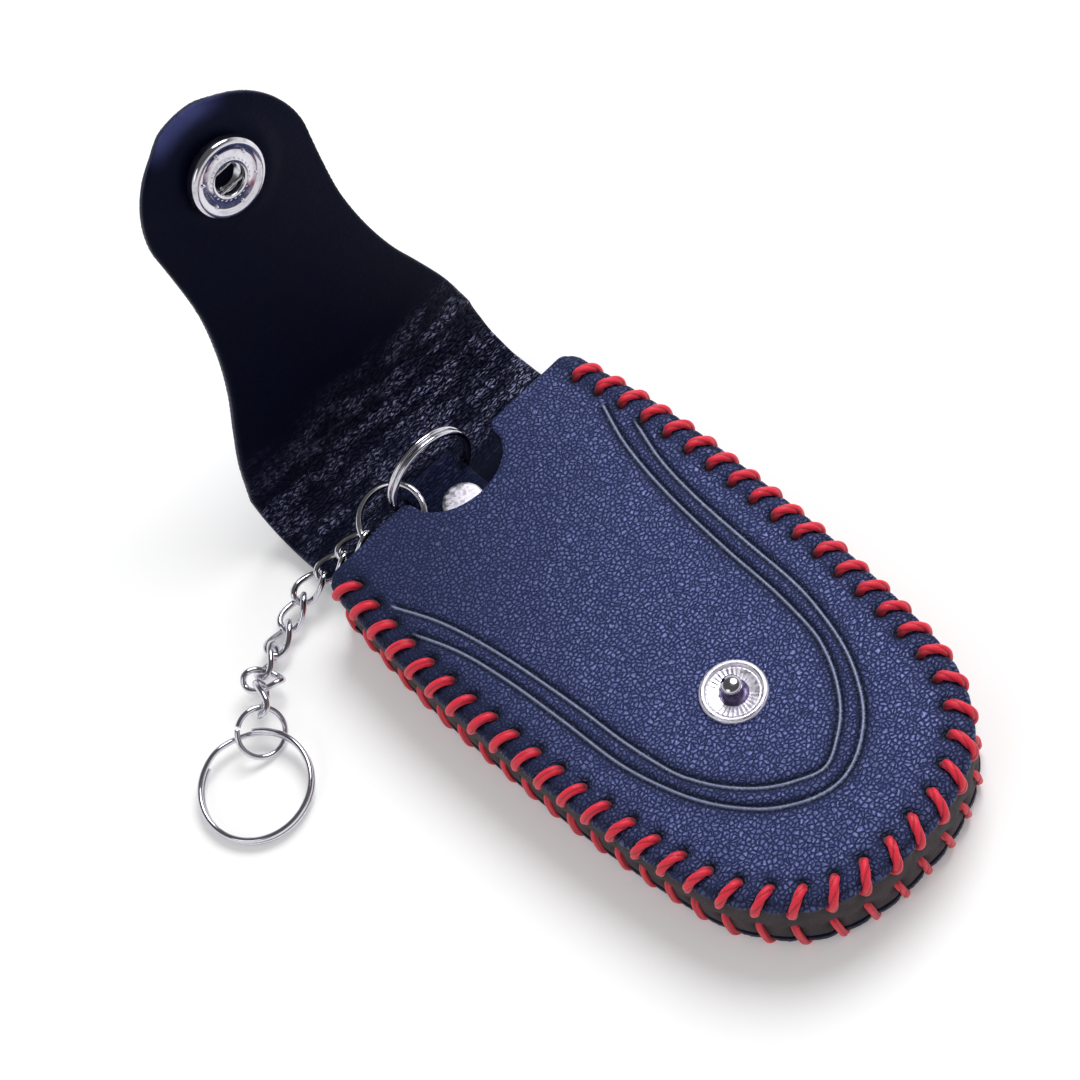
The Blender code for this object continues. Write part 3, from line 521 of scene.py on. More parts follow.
def cut_sheet(outline, cell, rows):
    """A flat sheet with close rows along its edge and square cells inside."""
    shape = bmesh.new()
    face = shape.faces.new([shape.verts.new((x, y, 0.0)) for x, y in outline])
    face.normal_update()
    for row in rows:
        bmesh.ops.inset_region(
            shape, faces=[face], thickness=row, use_even_offset=True, use_boundary=True
        )
    geometry = shape.verts[:] + shape.edges[:] + shape.faces[:]
    for axis in (0, 1):
        places = [vert.co[axis] for vert in shape.verts]
        count = int((max(places) - min(places)) / cell)
        across = Vector((0.0, 0.0, 0.0))
        across[axis] = 1.0
        for step in range(1, count + 1):
            middle = across * (min(places) + (step - 0.5) * (max(places) - min(places)) / count)
            cut = bmesh.ops.bisect_plane(
                shape, geom=geometry, dist=cell / 400, plane_co=middle, plane_no=across
            )
            geometry = cut["geom"]
    shape.normal_update()
    if sum(face.normal.z for face in shape.faces) < 0:
        bmesh.ops.reverse_faces(shape, faces=shape.faces)
    return shape


def thicken(shape):
    """Close a flat sheet with a second face, one leather's thickness above it."""
    made = bmesh.ops.extrude_face_region(shape, geom=shape.faces[:], use_keep_orig=True)["geom"]
    top = [item for item in made if isinstance(item, bmesh.types.BMVert)]
    bmesh.ops.translate(shape, verts=top, vec=(0.0, 0.0, LEATHER))
    bmesh.ops.recalc_face_normals(shape, faces=shape.faces)


def places_of(shape):
    """The places of a shape's vertices."""
    return np.array([tuple(vert.co) for vert in shape.verts])


def move_to(shape, places):
    """Move a shape's vertices."""
    for vert, place in zip(shape.verts, places):
        vert.co = place
    shape.normal_update()


def edge_distance(outline, places):
    """How far each place is from an outline."""
    closed = [*outline, outline[0]]
    dense = []
    for before, after in zip(closed, closed[1:]):
        steps = int((after - before).length / (0.1 * MM)) + 1
        dense += [before.lerp(after, step / steps) for step in range(steps)]
    tree = kdtree.KDTree(len(dense))
    for i, point in enumerate(dense):
        tree.insert((point.x, point.y, 0.0), i)
    tree.balance()
    return np.array([tree.find((place[0], place[1], 0.0))[2] for place in places])


def measured(shape, outline):
    """Each vertex's flat place, whether it is on the raised face, and how far it is from the edge."""
    places = places_of(shape)
    flat = places[:, :2].copy()
    return flat, places[:, 2] > LEATHER / 2, edge_distance(outline, flat)


def rounded(distance, radius):
    """How far a rounded edge drops at a distance from it."""
    inside = np.clip(radius - distance, 0.0, radius)
    return radius - np.sqrt(radius ** 2 - inside ** 2)


def bell(distance, width):
    """A smooth bump that fades with distance."""
    return np.exp(-((distance / width) ** 2))


def ramp(value, low, high):
    """A smooth step from low to high."""
    t = np.clip((value - low) / (high - low), 0.0, 1.0)
    return t * t * (3 - 2 * t)


def paint(thing, name, values):
    """Store a value at each vertex for the materials."""
    layer = thing.data.attributes.new(name, "FLOAT", "POINT")
    layer.data.foreach_set("value", np.asarray(values, dtype=np.float32))


def lay_pattern(thing, flat):
    """Store each vertex's place on the flat leather, in millimetres, for the grain to follow."""
    layer = thing.data.attributes.new("flat", "FLOAT_VECTOR", "POINT")
    places = np.column_stack([flat / MM, np.zeros(len(flat))])
    layer.data.foreach_set("vector", places.astype(np.float32).ravel())


def sort_faces(thing, upper, below, above):
    """Give the faces below and above their finishes, and the cut edge the second one."""
    for face in thing.data.polygons:
        sides = {bool(upper[i]) for i in face.vertices}
        face.material_index = 1 if len(sides) == 2 else (above if True in sides else below)


def ripple(places, scale, seed):
    """Slow, even waves that make leather a little uneven."""
    x, y = places[:, 0] / scale + seed, places[:, 1] / scale - seed
    waves = np.sin(x + 1.7 * np.sin(0.9 * y)) + np.sin(1.3 * y + 1.1 * np.sin(0.8 * x + seed))
    return (waves + 0.5 * np.sin(2.3 * x - 1.9 * y + seed)) / 2.5


def tube(points, radius=0.0, segments=0, closed=False, profile=None, tilts=None):
    """A wire or cord through points, as a welded mesh, round or with the section of a profile."""
    curve = bpy.data.curves.new("tube", "CURVE")
    curve.dimensions = "3D"
    if profile is None:
        curve.use_fill_caps = True
        curve.bevel_depth = radius
        curve.bevel_resolution = segments
    else:
        curve.bevel_mode = "OBJECT"
        curve.bevel_object = profile
    spline = curve.splines.new("POLY")
    spline.points.add(len(points) - 1)
    for i, (point, place) in enumerate(zip(spline.points, points)):
        point.co = (*place, 1.0)
        point.tilt = tilts[i] if tilts is not None else 0.0
    spline.use_cyclic_u = closed
    thing = bpy.data.objects.new("tube", curve)
    bpy.context.scene.collection.objects.link(thing)
    bpy.context.view_layer.update()
    mesh = bpy.data.meshes.new_from_object(thing.evaluated_get(bpy.context.evaluated_depsgraph_get()))
    bpy.data.objects.remove(thing, do_unlink=True)
    shape = bmesh.new()
    shape.from_mesh(mesh)
    bpy.data.meshes.remove(mesh)
    if profile is None:
        bmesh.ops.remove_doubles(shape, verts=shape.verts, dist=GAP / 300)
    else:
        bmesh.ops.holes_fill(shape, edges=[edge for edge in shape.edges if edge.is_boundary])
    bmesh.ops.recalc_face_normals(shape, faces=shape.faces)
    return shape


def turned(profile, steps, closed=False):
    """Turn a profile of radius and height about Z."""
    shape = bmesh.new()
    verts = [shape.verts.new((radius, 0.0, height)) for radius, height in profile]
    edges = [shape.edges.new(pair) for pair in zip(verts, verts[1:])]
    if closed:
        edges.append(shape.edges.new((verts[-1], verts[0])))
    bmesh.ops.spin(
        shape,
        geom=verts + edges,
        cent=(0.0, 0.0, 0.0),
        axis=(0.0, 0.0, 1.0),
        angle=math.tau,
        steps=steps,
        use_merge=True,
    )
    bmesh.ops.remove_doubles(shape, verts=shape.verts, dist=GAP / 300)
    bmesh.ops.recalc_face_normals(shape, faces=shape.faces)
    return shape


def metal_piece(name, shape, place, body, node, plate="Nickel plate"):
    """Put a metal piece in its place, instead of its solid."""
    bmesh.ops.transform(shape, matrix=place, verts=shape.verts)
    stands_for(finish_object(name, shape, plate), body, node)


def round_point(radius, angle, height=0.0):
    """A point round the Z axis, its angle in degrees."""
    turn = math.radians(angle)
    return Vector((radius * math.cos(turn), radius * math.sin(turn), height))


def rounded_profile(knots, radius, steps=4):
    """A profile whose inner corners are rounded."""
    knots = [Vector(knot) for knot in knots]
    made = [knots[0]]
    for before, corner, after in zip(knots, knots[1:], knots[2:]):
        reach = min(radius, (before - corner).length * 0.45, (after - corner).length * 0.45)
        first = corner + (before - corner).normalized() * reach
        last = corner + (after - corner).normalized() * reach
        for step in range(steps + 1):
            t = step / steps
            made.append(first.lerp(corner, t).lerp(corner.lerp(last, t), t))
    made.append(knots[-1])
    return made


# Materials
MIX_SOCKETS = {"RGBA": (6, 7, 2), "FLOAT": (2, 3, 0)}
MATERIALS = {}


class Nodes:
    """A node tree, with short ways to add to it."""

    def __init__(self, tree):
        self.tree = tree

    def join(self, socket, value):
        """Link a socket to another one, or set its value."""
        if isinstance(value, bpy.types.NodeSocket):
            self.tree.links.new(value, socket)
        else:
            socket.default_value = (*value, 1.0) if socket.type == "RGBA" else value

    def join_all(self, node, inputs):
        """Link or set a node's inputs by their names."""
        for name, value in inputs.items():
            self.join(node.inputs[name.replace("_", " ")], value)

    def add(self, kind, settings=None, **inputs):
        """Add a node with its settings and its inputs' values or links."""
        node = self.tree.nodes.new(kind)
        for name, value in (settings or {}).items():
            setattr(node, name, value)
        self.join_all(node, inputs)
        return node

    def math(self, operation, *values):
        """A sum, product or other measure of two values."""
        node = self.add("ShaderNodeMath", {"operation": operation})
        for socket, value in zip(node.inputs, values):
            self.join(socket, value)
        return node.outputs[0]

    def product(self, first, second):
        """One value times another."""
        return self.math("MULTIPLY", first, second)

    def total(self, first, second):
        """One value and another."""
        return self.math("ADD", first, second)

    def span(self, value, low, high, start=0.0, end=1.0):
        """Map a value from one span to another, smoothly and with its ends held."""
        ends = {"From_Min": low, "From_Max": high, "To_Min": start, "To_Max": end}
        settings = {"interpolation_type": "SMOOTHSTEP"}
        return self.add("ShaderNodeMapRange", settings, Value=value, **ends).outputs["Result"]

    def mix(self, share, first, second, kind="RGBA"):
        """Mix two colours or two values."""
        node = self.add("ShaderNodeMix", {"data_type": kind})
        *inputs, output = MIX_SOCKETS[kind]
        for number, value in zip((0, *inputs), (share, first, second)):
            self.join(node.inputs[number], value)
        return node.outputs[output]


class Surface(Nodes):
    """A material's nodes, from the places on a piece to its shader."""

    def __init__(self, name):
        self.material = bpy.data.materials.new(name)
        self.material.use_nodes = True
        super().__init__(self.material.node_tree)
        self.shader = self.tree.nodes["Principled BSDF"]
        place = self.add("ShaderNodeTexCoord").outputs["Object"]
        self.place = self.scaled(place, (1 / MM, 1 / MM, 1 / MM))

    def scaled(self, place, scale):
        """Places made larger or smaller."""
        return self.add("ShaderNodeMapping", Vector=place, Scale=scale).outputs["Vector"]

    def flat(self, wander, stretch):
        """Places on the flat leather, made to wander a little so that no pattern runs straight."""
        place = self.add("ShaderNodeAttribute", {"attribute_name": "flat"}).outputs["Vector"]
        drift = self.add("ShaderNodeTexNoise", Vector=place, Scale=0.8, Detail=3.0).outputs["Color"]
        bent = self.add("ShaderNodeVectorMath", {"operation": "MULTIPLY_ADD"})
        for socket, value in zip(bent.inputs, (drift, (wander, wander, wander), place)):
            self.join(socket, value)
        return self.scaled(bent.outputs[0], stretch)

    def cells(self, place, scale):
        """How far each place is from the edge of its cell."""
        settings = {"feature": "DISTANCE_TO_EDGE", "voronoi_dimensions": "2D"}
        return self.add("ShaderNodeTexVoronoi", settings, Vector=place, Scale=scale).outputs["Distance"]

    def noise(self, scale, detail=3.0, place=None):
        """Noise with a scale per millimetre."""
        place = place or self.place
        return self.add("ShaderNodeTexNoise", Vector=place, Scale=scale, Detail=detail).outputs["Fac"]

    def attribute(self, name):
        """A value stored at the vertices."""
        return self.add("ShaderNodeAttribute", {"attribute_name": name}).outputs["Fac"]

    def bump(self, height, depth):
        """Raise the surface by a height from 0 to 1."""
        node = self.add("ShaderNodeBump", Height=height, Distance=depth, Strength=1.0)
        return node.outputs["Normal"]

    def done(self, colour, roughness, normal, **values):
        """Link the shader, and set its other sockets."""
        links = {"Base Color": colour, "Roughness": roughness, "Normal": normal}
        self.join_all(self.shader, links | values)
        return self.material


def tint(base, factor):
    """A colour made lighter or darker."""
    return tuple(min(channel * factor, 1.0) for channel in base)


def grained_leather(name, base, pebble_tone_and_highlight, ridge_highlight_colour, depth):
    """Navy leather with a pebbled grain: the pebble tops painted lighter as a highlight over the grain's
    own tone, the gaps between them painted dark as shade.
    """
    nodes = Surface(name)
    place = nodes.flat(0.9, (1.0, 1.22, 1.0))
    pebble_and_highlight = nodes.span(nodes.cells(place, 1.30), 0.01, 0.33)
    fine = nodes.noise(2.6, 4.0, place)
    ridge_polish_and_highlight = nodes.attribute("polished_and_highlighted")
    full = nodes.product(pebble_and_highlight, nodes.span(nodes.noise(0.35, 3.0, place), 0.3, 0.7, 0.65, 1.0))
    height = nodes.total(full, nodes.product(fine, 0.45))
    height = nodes.product(height, nodes.span(ridge_polish_and_highlight, 0.2, 0.9, 1.0, 0.25))
    top = nodes.product(full, nodes.span(fine, 0.36, 0.62, 0.22, 1.0))
    # Pebble tops painted lighter as a highlight, the gaps left dark as painted shade
    shade = nodes.mix(top, base, pebble_tone_and_highlight)
    # Painted shade along the stitched edge, round the embossed lines and towards the top left
    shade = nodes.mix(nodes.attribute("painted_shade"), shade, tint(base, 0.6))
    # Polished embossed ridges, painted lighter as a highlight
    shade = nodes.mix(ridge_polish_and_highlight, shade, ridge_highlight_colour)
    # Painted shade in the stitch holes, grooves and other hollows
    shade = nodes.mix(nodes.attribute("hollow_shade"), shade, tint(base, 0.10))
    rough = nodes.span(nodes.math("MAXIMUM", top, ridge_polish_and_highlight), 0.0, 0.8, 0.78, 0.36)
    gloss = {"Specular_IOR_Level": 0.70, "Specular_Tint": (0.55, 0.66, 1.0)}
    return nodes.done(shade, rough, nodes.bump(height, depth), **gloss)


def lining_leather(name, base, crease_highlight_colour, curled_rim_highlight):
    """Smooth near-black leather, with short fine creases where it bends at the root, their tops painted
    with pale flecks as highlights, and a painted highlight on the curled rim.
    """
    nodes = Surface(name)
    crease_and_highlight = nodes.attribute("crease_and_highlight")
    place = nodes.flat(1.1, (0.55, 1.8, 1.0))
    fine = nodes.noise(3.0, 5.0, place)
    fold = nodes.span(nodes.cells(place, 1.0), 0.0, 0.30)
    height = nodes.total(nodes.product(fold, crease_and_highlight), nodes.product(fine, 0.25))
    patch = nodes.span(nodes.noise(0.22, 4.0, place), 0.44, 0.60, 0.10, 1.0)
    # Pale flecks on the crease tops: painted highlights
    pale = nodes.product(crease_and_highlight, nodes.span(fine, 0.44, 0.62))
    pale = nodes.product(nodes.product(pale, fold), patch)
    shade = nodes.mix(nodes.span(nodes.noise(0.09), 0.45, 0.75, 0.0, 0.5), base, tint(base, 2.0))
    shade = nodes.mix(pale, shade, crease_highlight_colour)
    # The curled rim at the tip, painted lighter as a highlight
    shade = nodes.mix(nodes.attribute("curled_rim_highlight"), shade, curled_rim_highlight)
    rough = nodes.total(nodes.span(fine, 0.3, 0.7, 0.50, 0.60), nodes.product(crease_and_highlight, -0.18))
    gloss = {"Specular_IOR_Level": 0.16, "Specular_Tint": (0.45, 0.54, 1.0)}
    return nodes.done(shade, rough, nodes.bump(height, 0.32 * MM), **gloss)


def painted_edge(name, base):
    """Cut edges, painted and a little uneven."""
    nodes = Surface(name)
    fine = nodes.noise(4.0, 4.0)
    normal = nodes.bump(nodes.noise(1.6), 0.10 * MM)
    shade = nodes.mix(nodes.span(fine, 0.35, 0.7), tint(base, 0.7), tint(base, 1.8))
    return nodes.done(shade, nodes.span(fine, 0.3, 0.7, 0.42, 0.58), normal, Specular_IOR_Level=0.25)


def split_leather(name, base):
    """The matte split leather of the side wall, with painted shade in the pits at the thread's holes."""
    nodes = Surface(name)
    fine = nodes.noise(4.5, 6.0)
    broad = nodes.noise(0.25)
    normal = nodes.bump(nodes.total(fine, nodes.product(broad, 0.8)), 0.10 * MM)
    shade = nodes.mix(nodes.span(broad, 0.35, 0.68), tint(base, 0.72), tint(base, 1.35))
    # Painted shade in the pits where the thread goes through
    shade = nodes.mix(nodes.attribute("hollow_shade"), shade, tint(base, 0.25))
    return nodes.done(shade, nodes.span(fine, 0.3, 0.7, 0.62, 0.80), normal, Specular_IOR_Level=0.3)


def waxed_thread(name, base, glint_colour):
    """Red waxed thread with fine fibres, lighter flecks painted on as glints, and painted shade between its
    strands and where it goes into the leather.
    """
    nodes = Surface(name)
    fibre_and_glint = nodes.noise(7.0)
    # Painted shade in the valleys between the strands
    shade = nodes.mix(nodes.attribute("strand_valley_shade"), base, tint(base, 0.38))
    # Lighter flecks painted on as glints
    shade = nodes.mix(nodes.span(fibre_and_glint, 0.40, 0.75, 0.0, 0.35), shade, glint_colour)
    # Painted shade where the thread goes into the leather
    shade = nodes.mix(nodes.attribute("hollow_shade"), shade, tint(base, 0.22))
    rough = nodes.span(fibre_and_glint, 0.3, 0.7, 0.34, 0.48)
    gloss = {"Sheen_Weight": 0.15, "Specular_IOR_Level": 0.5}
    return nodes.done(shade, rough, nodes.bump(fibre_and_glint, 0.07 * MM), **gloss)


def plated(name, base, roughness):
    """Polished plate with faint wear."""
    nodes = Surface(name)
    wear = nodes.noise(1.3, 5.0)
    shade = nodes.mix(nodes.span(wear, 0.45, 0.75, 0.0, 0.5), base, tint(base, 0.80))
    rough = nodes.span(wear, 0.35, 0.75, roughness * 0.7, roughness * 1.7)
    return nodes.done(shade, rough, nodes.bump(nodes.noise(0.35), 0.02 * MM), Metallic=1.0)


def pale_floor(name, base):
    """A floor that glows a little to the camera and to metal, so that it stays white."""
    nodes = Surface(name)
    fine = nodes.noise(0.02, 2.0)
    shade = nodes.mix(nodes.span(fine, 0.3, 0.7), base, tint(base, 0.985))
    rough = nodes.span(fine, 0.3, 0.7, 0.78, 0.86)
    rays = nodes.add("ShaderNodeLightPath").outputs
    seen = nodes.math("MAXIMUM", rays["Is Camera Ray"], rays["Is Glossy Ray"])
    glow = {"Emission_Color": (1.0, 1.0, 1.0), "Emission_Strength": nodes.product(seen, FLOOR_GLOW)}
    return nodes.done(shade, rough, nodes.bump(fine, 0.001 * MM), Specular_IOR_Level=0.1, **glow)


def finish(name):
    """A material by its name, made the first time that it is asked for."""
    if name not in MATERIALS:
        scene = bpy.context.scene
        leather, thread, metal = scene.key_cover_leather, scene.key_cover_thread, scene.key_cover_metal
        kinds = {
            "Grained navy": (grained_leather, leather.navy, leather.pebble_and_highlight, leather.ridge_highlight, leather.grain),
            "Flap lining": (lining_leather, leather.lining, leather.crease_and_highlight, leather.curled_rim_highlight),
            "Strap leather": (lining_leather, leather.strap, leather.strap_crease_highlight, leather.curled_rim_highlight),
            "Edge paint": (painted_edge, leather.edge),
            "Split leather": (split_leather, leather.side),
            "Waxed thread": (waxed_thread, thread.red, thread.fibre_and_glint),
            "Nickel plate": (plated, metal.nickel, metal.roughness),
            # A lighter, rougher copy of the nickel, painted bright as a highlight
            "Bright plate": (plated, metal.bright, metal.roughness * 3.2),
            "Spring steel": (plated, metal.steel, metal.roughness * 1.6),
            # The ring round the stud's ball, painted dark as shade
            "Dark recess": (plated, metal.recess, 0.5),
            "Floor": (pale_floor, scene.key_cover_stage.floor),
        }
        maker, *values = kinds[name]
        MATERIALS[name] = maker(name, *values)
    return MATERIALS[name]


class Piece:
    """What the piece operators share."""

    bl_options = {"REGISTER", "UNDO"}

    def execute(self, context):
        """Build the piece."""
        self.build(context.scene)
        return {"FINISHED"}


# Front panel
def emboss(distance, depth):
    """The section of one embossed line: a groove with a fine ridge in it."""
    return depth * (0.80 * bell(distance, 0.22 * MM) - 0.95 * bell(distance, 0.60 * MM))


class KEYCOVER_OT_front_panel(Piece, bpy.types.Operator):
    """Make the grained front with its notch, embossed lines and puckered edge"""

    bl_idname = "keycover.front_panel"
    bl_label = "Front panel"

    def build(self, scene):
        """Cut the sheet, make it finer where it is shaped, and press the shape into it."""
        settings = scene.key_cover_leather
        outline = SEAM.side() + finger_notch()
        shape = cut_sheet(outline, settings.cell, EDGE_ROWS)
        thicken(shape)
        lines = []
        for shares in (INNER_LINE_SHARES, OUTER_LINE_SHARES):
            lines.append(Line(smooth(mirrored(shares, SEAM_HALF_WIDTH, SEAM_DEPTH), 8)))
        for reach, spread in FINE_REACH:
            self.refine(shape, lines, reach, spread)
        self.press(shape, outline, lines, settings)

    def refine(self, shape, lines, reach, spread):
        """Divide the top faces near the embossed lines and the stitch holes."""
        places = places_of(shape)
        holes = SEAM.stitch(np.arange(STITCHES))
        close = np.linalg.norm(places[:, None, :2] - holes[None], axis=2).min(1) < spread
        for line in lines:
            close |= np.abs(line.nearest(places[:, :2])[1]) < reach
        close &= places[:, 2] > LEATHER / 2
        for vert, flag in zip(shape.verts, close):
            vert.tag = bool(flag)
        edges = [edge for edge in shape.edges if edge.verts[0].tag and edge.verts[1].tag]
        bmesh.ops.subdivide_edges(shape, edges=edges, cuts=1, use_grid_fill=True)

    def press(self, shape, outline, lines, settings):
        """Crown the panel, draw its edge down at the stitches, and emboss it; paint shade into its hollows,
        along its edge, round the embossed lines and towards the top left, and a highlight on the embossed
        ridges.
        """
        flat, top, edge = measured(shape, outline)
        x, y = flat.T
        along, out = SEAM.nearest(flat)
        share_out = np.clip(out / EDGE_MARGIN, 0.0, 1.0)
        below_mouth = ramp(MOUTH - y, 0.0, 6 * MM)
        rise = settings.crown * ramp(-out, 0.0, CROWN_RUN) * (0.4 + 0.6 * below_mouth)
        rise += UNEVEN * ripple(flat, 7 * MM, 1.3)
        across, hole = SEAM.from_hole(along, out + HOLE_INSET, THREAD_SLANT * out / MM)
        reach = ramp(out, -0.9 * MM, 0.2 * MM)
        groove = bell(across, GROOVE_WIDTH) * reach
        hole = bell(hole, GROOVE_WIDTH)
        edge_line = bell(out - EDGE_LINE_OUT, EDGE_LINE_WIDTH)
        drop = EDGE_DROP * share_out ** 2.2 - EDGE_ROLL * bell(out - 1.5 * MM, 1.0 * MM)
        drop += settings.pucker * ((0.45 + 0.25 * share_out) * groove + 0.9 * hole)
        drop += EDGE_LINE_DEPTH * edge_line
        # Painted shade in the stitch holes, under the thread and in the line along the edge
        hollow_shade = 1.25 * hole + 0.45 * bell(across, 0.85 * MM) * reach + 0.85 * edge_line
        # Painted shade along the stitched edge, and darker towards the top left
        painted_shade = 0.55 * ramp(out, -2.8 * MM, 0.4 * MM) + 0.72 * ramp(y - x, -12 * MM, 58 * MM)
        raised = LINE_RISE * self.between(flat, lines)
        polished_and_highlighted = np.zeros(len(flat))
        for line in lines:
            span, distance = line.nearest(flat)
            fade = ramp(np.minimum(span, line.lengths[-1] - span), 0.05 * MM, 1.2 * MM)
            raised += fade * emboss(distance, settings.emboss)
            # Painted shade in the grooves beside each ridge
            hollow_shade += fade * 0.95 * bell(np.abs(distance) - 0.45 * MM, 0.24 * MM)
            # A painted highlight on each polished ridge
            polished_and_highlighted += fade * 0.95 * bell(distance, 0.19 * MM)
            # Painted shade round each embossed line
            painted_shade = np.maximum(painted_shade, 0.85 * fade * bell(distance, 1.5 * MM))
        wear_and_crease_highlight = rounded(edge, FRONT_ROUNDING)
        height = np.maximum(FRONT_HIGH + rise - drop + raised - wear_and_crease_highlight, FRONT_LOW + 0.15 * MM)
        moved = flat - SEAM.outwards(along) * (GROOVE_PULL * groove * share_out ** 2)[:, None]
        move_to(shape, np.column_stack([moved, np.where(top, height, FRONT_LOW + 0.25 * wear_and_crease_highlight)]))
        made = finish_object("front_leather", shape, "Grained navy", "Edge paint", "Flap lining")
        lay_pattern(made, flat)
        for name, values in (("hollow_shade", hollow_shade), ("polished_and_highlighted", polished_and_highlighted), ("painted_shade", painted_shade)):
            paint(made, name, np.clip(np.where(top, values, 0.0), 0.0, 1.0))
        sort_faces(made, top, 2, 0)
        stands_for(made, "pouch", "front_panel")

    def between(self, flat, lines):
        """A soft rise between the two embossed lines."""
        inner, outer = lines[0].nearest(flat)[1], lines[1].nearest(flat)[1]
        band = np.clip(inner, 0.0, None) * np.clip(-outer, 0.0, None) / LINE_GAP ** 2
        return np.clip(band, 0.0, 1.0) * ramp(18 * MM - flat[:, 1], 0.0, 12 * MM)


# Back and flap, one piece of leather
def flap_outline():
    """The back panel's and the flap's edge, flat, with the distance from the bottom as Y."""
    side = SEAM.side()
    root = side[0].x
    knots = [Vector((w * root, BEND_LAST + s * FLAP_LENGTH)) for s, w in FLAP_NARROW_SHARES]
    centre = BEND_LAST + FLAP_LENGTH - FLAP_TIP_RADIUS
    right = smooth([*knots, Vector((FLAP_TIP_RADIUS, centre))], 14)
    left = [Vector((-point.x, point.y)) for point in right]
    tip = arc((0.0, centre), FLAP_TIP_RADIUS, 180, 0, 90)[1:-1]
    hinge = [Vector((-root, HINGE.y)), Vector((root, HINGE.y))]
    return side + hinge[:1] + left + tip + right[::-1] + hinge[1:]


class Fold:
    """The line of the back, its bend and the flap in the side view, with the tip curled back."""

    LOW = -60 * MM
    TIP = 13 * MM
    CURL = 1.0 * MM

    def __init__(self):
        points = [Vector((self.LOW, HINGE.z)), Vector((BEND_FIRST, HINGE.z))]
        centre = (BEND_FIRST, HINGE.z + BEND_RADIUS)
        points += arc(centre, BEND_RADIUS, -90, math.degrees(FLAP_LEAN) - 90, 60)[1:]
        way = Vector((math.cos(FLAP_LEAN), math.sin(FLAP_LEAN)))
        back = Vector((way.y, -way.x))
        straight = FLAP_LENGTH - self.TIP
        last = points[-1]
        points += [last + way * straight * step / 8 for step in range(1, 9)]
        for step in range(1, 21):
            part = 1.1 * step / 20
            points.append(last + way * (straight + self.TIP * part) + back * self.CURL * part ** 2)
        self.line = Line(points)

    def lay(self, across, along, out):
        """Places of points of the flat leather: out is towards the inner face."""
        return np.column_stack([across, self.line.at(np.atleast_1d(along) - self.LOW, out)])


FOLD = Fold()

# Two places along the fold where the leather starts and stops its bend; the build works them out but does
# not use them
BLEND_REACH = (HINGE.y + 0.4 * FLAT_RUN, BEND_LAST + 1.6 * STRAP_RING_RADIUS)


